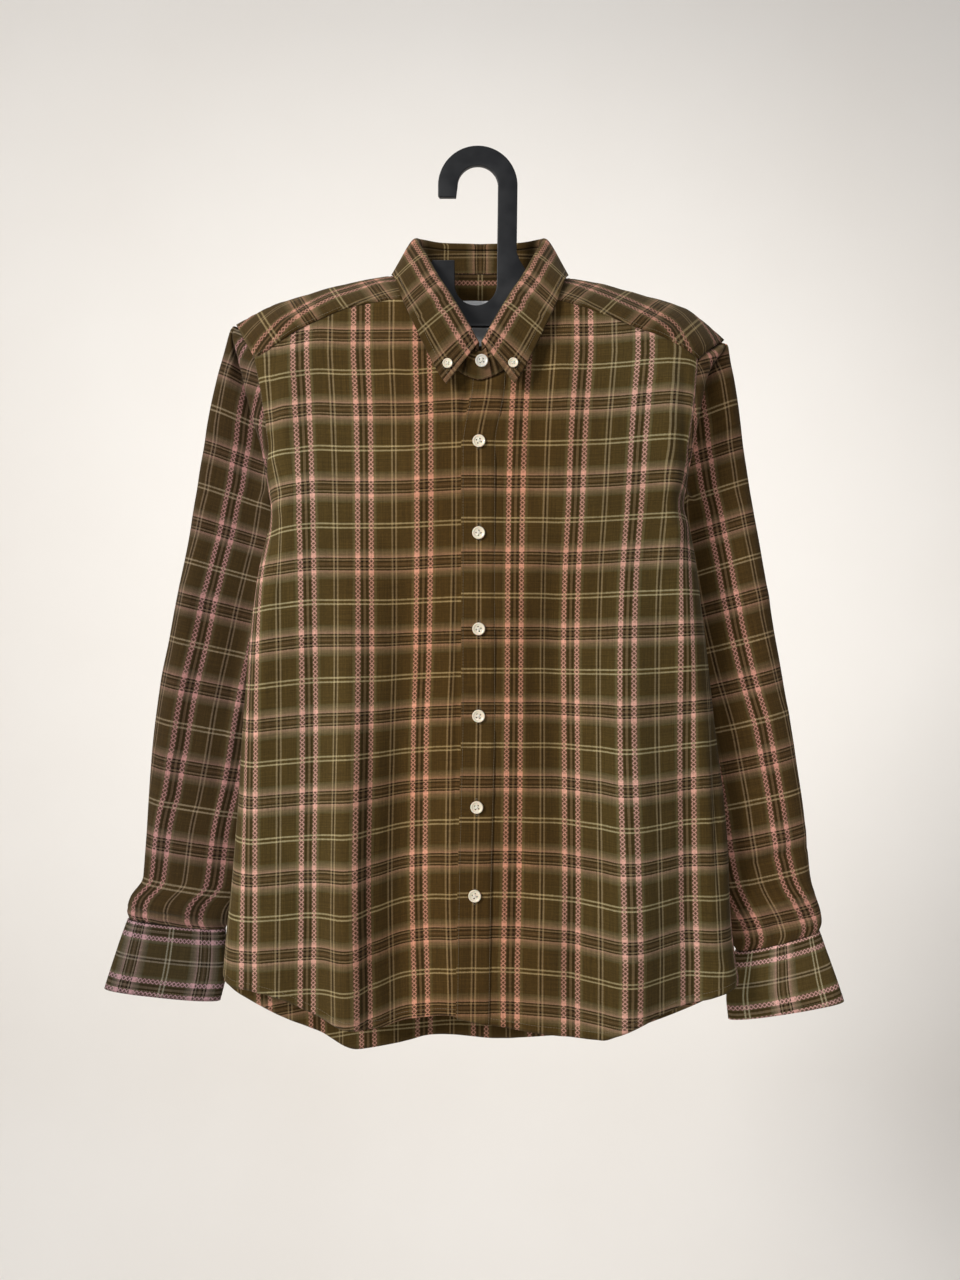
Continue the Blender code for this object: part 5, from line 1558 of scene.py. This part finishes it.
# ---- stitches ----
def stitch_tree():
    """Geometry Nodes: rows of short thread stitches along the edges of a path mesh."""
    tree, net, entry, leave = node_group(
        "rows of stitches", "GeometryNodeTree",
        [("Paths", "Geometry"), ("Pitch", "Float"), ("Length", "Float"), ("Thickness", "Float"),
         ("Thread", "Material")],
        [("Stitches", "Geometry")])
    # None stands for a socket that keeps its own value.
    curve = net.add("GeometryNodeMeshToCurve", entry["Paths"])
    spaced = net.add("GeometryNodeResampleCurve", curve, None, None, entry["Pitch"], mode="LENGTH")
    size = net.add("ShaderNodeCombineXYZ", entry["Length"], entry["Thickness"], entry["Thickness"])
    blank = net.add("GeometryNodeMeshUVSphere", 6, 4, 0.5)
    shaped = net.add("GeometryNodeTransform", blank, None, None, size)
    along = net.add("GeometryNodeInputTangent")
    turn = net.add("FunctionNodeAlignRotationToVector", None, None, along, axis="X")
    laid = net.add("GeometryNodeInstanceOnPoints", spaced, None, shaped, None, None, turn)
    real = net.add("GeometryNodeSetShadeSmooth", net.add("GeometryNodeRealizeInstances", laid))
    net.link(net.add("GeometryNodeSetMaterial", real, None, entry["Thread"]), leave["Stitches"])
    return tree


def stitched(name, tree, finish, paths, pitch=2.6, length=2.2, thick=0.42):
    """One piece of all the stitches along some paths, given in garment millimetres."""
    points, edges = [], []
    for path in paths:
        first = len(points)
        points.extend(metres(path).tolist())
        edges.extend((first + k, first + k + 1) for k in range(len(path) - 1))
    mesh = bpy.data.meshes.new(name + "_paths")
    mesh.from_pydata(points, edges, [])
    carrier = new_object(name + "_paths", mesh)
    modifier = carrier.modifiers.new("stitches", "NODES")
    modifier.node_group = tree
    values = {"Pitch": pitch * 0.001, "Length": length * 0.001, "Thickness": thick * 0.001, "Thread": finish}
    for item in tree.interface.items_tree:
        if item.name in values:
            modifier[item.identifier] = values[item.name]
    bpy.context.view_layer.update()
    declare(add_piece(name, finished_mesh(carrier, name), finish), [])


def seam_path(grid, lift, outward, distance, from_end, upright=False, start=0.0, end=1.0):
    """A line a distance in from a grid's first or last row, or column if it is upright, lifted off it."""
    surface = grid + grid_normals(grid, outward) * lift
    if upright:
        step = np.linalg.norm(np.diff(grid[len(grid) // 2], axis=0), axis=1)
        surface = surface.transpose(1, 0, 2)
    else:
        step = np.linalg.norm(np.diff(grid, axis=0), axis=2).mean(axis=1)
    row = len(surface) - 1 - distance / step[-1] if from_end else distance / step[0]
    low = min(int(row), len(surface) - 2)
    line = mix(surface[low], surface[low + 1], row - low)
    last = len(line) - 1
    return line[int(start * last):int(end * last) + 1]


# ---- fastenings ----
def cell(grid, r, c, outward):
    """The middle of a grid's cell, and its normal on the side of a direction."""
    a, b, d, e = grid[r, c], grid[r, c + 1], grid[r + 1, c + 1], grid[r + 1, c]
    normal = unit(np.cross(d - a, e - b))
    if normal @ np.array(outward) < 0:
        normal = -normal
    return (a + b + d + e) / 4, normal


def on_front(grid, x, height):
    """The place on the front of a grid at an x and height, and its normal."""
    middle = (grid[:-1, :-1] + grid[:-1, 1:] + grid[1:, 1:] + grid[1:, :-1]) / 4
    away = np.hypot(middle[..., 0] - x, middle[..., 2] - height) + 0.5 * middle[..., 1]
    return cell(grid, *np.unravel_index(np.argmin(away), away.shape), FORWARD)


def thread_cross(spread, height):
    """Two crossed bundles of two strands of thread over four holes, facing +Z, in millimetres."""
    radius, steps, sides = 0.26, 8, 6
    work = bmesh.new()
    for turn in (math.pi / 4, 3 * math.pi / 4):
        for strand in (-1, 1):
            rings = []
            for k in range(steps + 1):
                t = 2 * k / steps - 1
                x = spread * math.sqrt(2) * t
                z = height + radius * 1.2 * (1 - t * t) - (1.2 if abs(t) == 1 else 0)
                ring = []
                for a in [2 * math.pi * j / sides for j in range(sides)]:
                    y = strand * radius * 0.9 + radius * math.cos(a)
                    place = Vector((x, y, z + radius * math.sin(a)))
                    ring.append(work.verts.new(Matrix.Rotation(turn, 3, "Z") @ place))
                rings.append(ring)
            bridge(work, rings)
            work.faces.new(rings[0])
            work.faces.new(rings[-1])
    mesh = closed_mesh(work, bpy.data.meshes.new("thread_cross"))
    mesh.shade_smooth()
    return mesh


def put(mesh, name, place, facing, turn, finish, nodes):
    """A copy of a mesh made facing +Z in millimetres, at a garment place and turned to face a direction."""
    made = mesh.copy()
    base = Vector(facing).to_track_quat("Z", "Y").to_matrix().to_4x4()
    made.transform(Matrix.Translation(Vector(metres(place))) @ base @ Matrix.Rotation(turn, 4, "Z")
                   @ Matrix.Scale(0.001, 4))
    declare(add_piece(name, made, finish), nodes)


def make_buttons(placket, stand, leaf, cuffs):
    cream = resin("button resin", (0.66, 0.59, 0.46))
    pearl = resin("stand button resin", (0.54, 0.51, 0.45))
    white = thread("button thread", (0.80, 0.76, 0.66))
    large, small = [(button_mesh(name, *size, (spread, hole)), thread_cross(spread, size[1] * 0.68))
                    for name, size, spread, hole in (("large_button", BUTTON, 1.55, 0.80),
                                                     ("small_button", SMALL_BUTTON, 1.0, 0.5))]
    spots = []
    for number, height in enumerate(BUTTON_HEIGHTS, start=1):
        spot = on_front(placket, float(read(CENTRE_FRONT, "x", height)), height)
        spots.append(("front_%d" % number, *spot, PLACKET_THICK, large, cream, 0.35 * number))
    spots.append(("stand", *on_front(stand, *STAND_BUTTON), FACED, large, pearl, 0.2))
    for side in SIDES:
        spot = on_front(leaf, CENTRE + side * COLLAR_BUTTON[0], COLLAR_BUTTON[1])
        spots.append(("collar_" + side_name(side), *spot, FACED, small, cream, 0.1 * side))
        spot = cell(cuffs[side][::CUFF_GRID[1]], CUFF_BUTTON_ROW, CUFF_BUTTON_COLUMN, BACKWARD)
        spots.append(("cuff_" + side_name(side), *spot, FACED, small, cream, 0.3))
    for name, place, out, under, (mesh, cross), finish, turn in spots:
        name = "button_" + name
        foot = place + out * (under / 2 + LAY_GAP)
        put(mesh, name + "_dished", foot, out, turn, finish, [name])
        put(cross, name + "_thread", foot, out, turn, white, [])


# ---- stage, camera and light ----
def make_stage():
    """A pale floor that sweeps up into a backdrop well behind the shirt."""
    floor, wall, bend, half, near, top = -2.2, 1.75, 0.5, 4.0, -5.0, 3.0
    profile = [(near, floor), (wall - bend, floor)]
    profile += [(wall - bend + bend * math.sin(a), floor + bend * (1 - math.cos(a)))
                for a in np.linspace(0.1, math.pi / 2, 14)]
    profile += [(wall, top)]
    points = [(x, y, z) for y, z in profile for x in (-half, half)]
    faces = [(2 * k, 2 * k + 1, 2 * k + 3, 2 * k + 2) for k in range(len(profile) - 1)]
    mesh = bpy.data.meshes.new("studio_sweep")
    mesh.from_pydata(points, [], faces)
    mesh.shade_smooth()
    made, net, shader = new_material("pale plaster", Roughness=0.9)
    mottle = net.noise(net.place(), 1.3, 5.0)
    net.link(net.ramp(mottle, [(0.3, (0.81, 0.78, 0.74)), (0.7, (0.84, 0.815, 0.78))]), shader["Base Color"])
    add_piece("studio_sweep", mesh, made)


def make_camera():
    data = bpy.data.cameras.new("camera")
    data.lens = 27.0
    data.sensor_fit = "VERTICAL"
    data.sensor_height = 36.0
    camera = new_object("camera", data)
    camera.location = (0.0022, -0.953, -0.4703)
    camera.rotation_euler = (math.pi / 2, 0.0, 0.0)
    bpy.context.scene.camera = camera


def area_light(name, place, aim, size, power, colour):
    data = bpy.data.lights.new(name, "AREA")
    data.shape = "DISK"
    data.size = size
    data.energy = power
    data.color = colour
    light = new_object(name, data)
    light.location = place
    light.visible_camera = False
    light.rotation_euler = (Vector(aim) - Vector(place)).to_track_quat("-Z", "Y").to_euler()


def make_light():
    white = (1.0, 0.98, 0.95)
    area_light("window", (-2.1, -2.0, 0.8), (0, 0, -0.45), 1.1, 108.0, (1.0, 0.97, 0.93))
    area_light("fill", (0.2, -2.4, -0.1), (0, 0, -0.3), 0.6, 8.0, (0.95, 0.97, 1.0))
    area_light("overhead", (0.0, 0.15, 1.4), (0, 0, -0.5), 1.6, 8.0, white)
    area_light("wall_wash", (0.55, 0.6, -0.45), (0.55, 1.75, -0.45), 2.6, 11.5, white)
    world = bpy.data.worlds.new("studio")
    world.use_nodes = True
    sky = world.node_tree.nodes["Background"].inputs
    sky["Color"].default_value = (0.95, 0.96, 1.0, 1.0)
    sky["Strength"].default_value = 0.28
    bpy.context.scene.world = world
    bpy.context.scene.view_settings.view_transform = "Standard"


def main():
    plaid = woven_plaid()
    fronts = {side: make_front(side, plaid) for side in SIDES}
    back = make_back(plaid)
    yoke = make_yoke(plaid)
    for side in SIDES:
        make_sleeve(side, plaid)
    cuffs = {side: make_cuff(side, plaid) for side in SIDES}
    for side in SIDES:
        make_sleeve_placket(side, plaid)
    leaf, stand, placket = make_leaf(plaid), make_stand(plaid), make_placket(plaid)
    make_label()
    make_hanger()
    make_buttons(placket, stand, leaf, cuffs)
    make_seams(fronts, back, yoke, cuffs, leaf, placket)
    make_stage()
    make_camera()
    make_light()


def make_seams(fronts, back, yoke, cuffs, leaf, placket):
    tree = stitch_tree()
    brown = thread("seam thread", (0.16, 0.115, 0.055))
    proud, faced = CLOTH / 2 + 0.12, FACED / 2 + 0.1
    ends = (False, True)
    slits = []
    for height in BUTTON_HEIGHTS:
        for across in (-0.8, 0.8):
            middle = float(read(CENTRE_FRONT, "x", height)) + across
            spots = [on_front(placket, middle, height + step) for step in np.linspace(-7.8, 7.8, 12)]
            slits.append([place + out * (PLACKET_THICK / 2 + 0.05) for place, out in spots])
    stitched("stitches_placket", tree, brown,
             [seam_path(placket, PLACKET_THICK / 2 + 0.1, FORWARD, EDGE_STITCH, end, True) for end in ends])
    stitched("stitches_buttonholes", tree, brown, slits, pitch=0.55, length=0.5, thick=1.1)
    stitched("stitches_armholes", tree, brown,
             [seam_path(fronts[side], proud, FORWARD, EDGE_STITCH, True, True, 0.02, 0.25) for side in SIDES])
    stitched("stitches_hem", tree, brown,
             [seam_path(fronts[side], proud, FORWARD, HEM_TURN, True) for side in SIDES]
             + [seam_path(back, proud, BACKWARD, HEM_TURN, True)])
    stitched("stitches_yoke", tree, brown,
             [seam_path(yoke, proud, UP, EDGE_STITCH, end, True) for end in ends])
    stitched("stitches_collar", tree, brown,
             [seam_path(leaf, faced, UP, FACED_STITCH, True, True)]
             + [seam_path(leaf, faced, UP, FACED_STITCH, end, False, 0.35, 0.9) for end in ends])
    stitched("stitches_cuffs", tree, brown,
             [seam_path(cuffs[side], faced, None, FACED_STITCH, end) for side in SIDES for end in ends])


main()
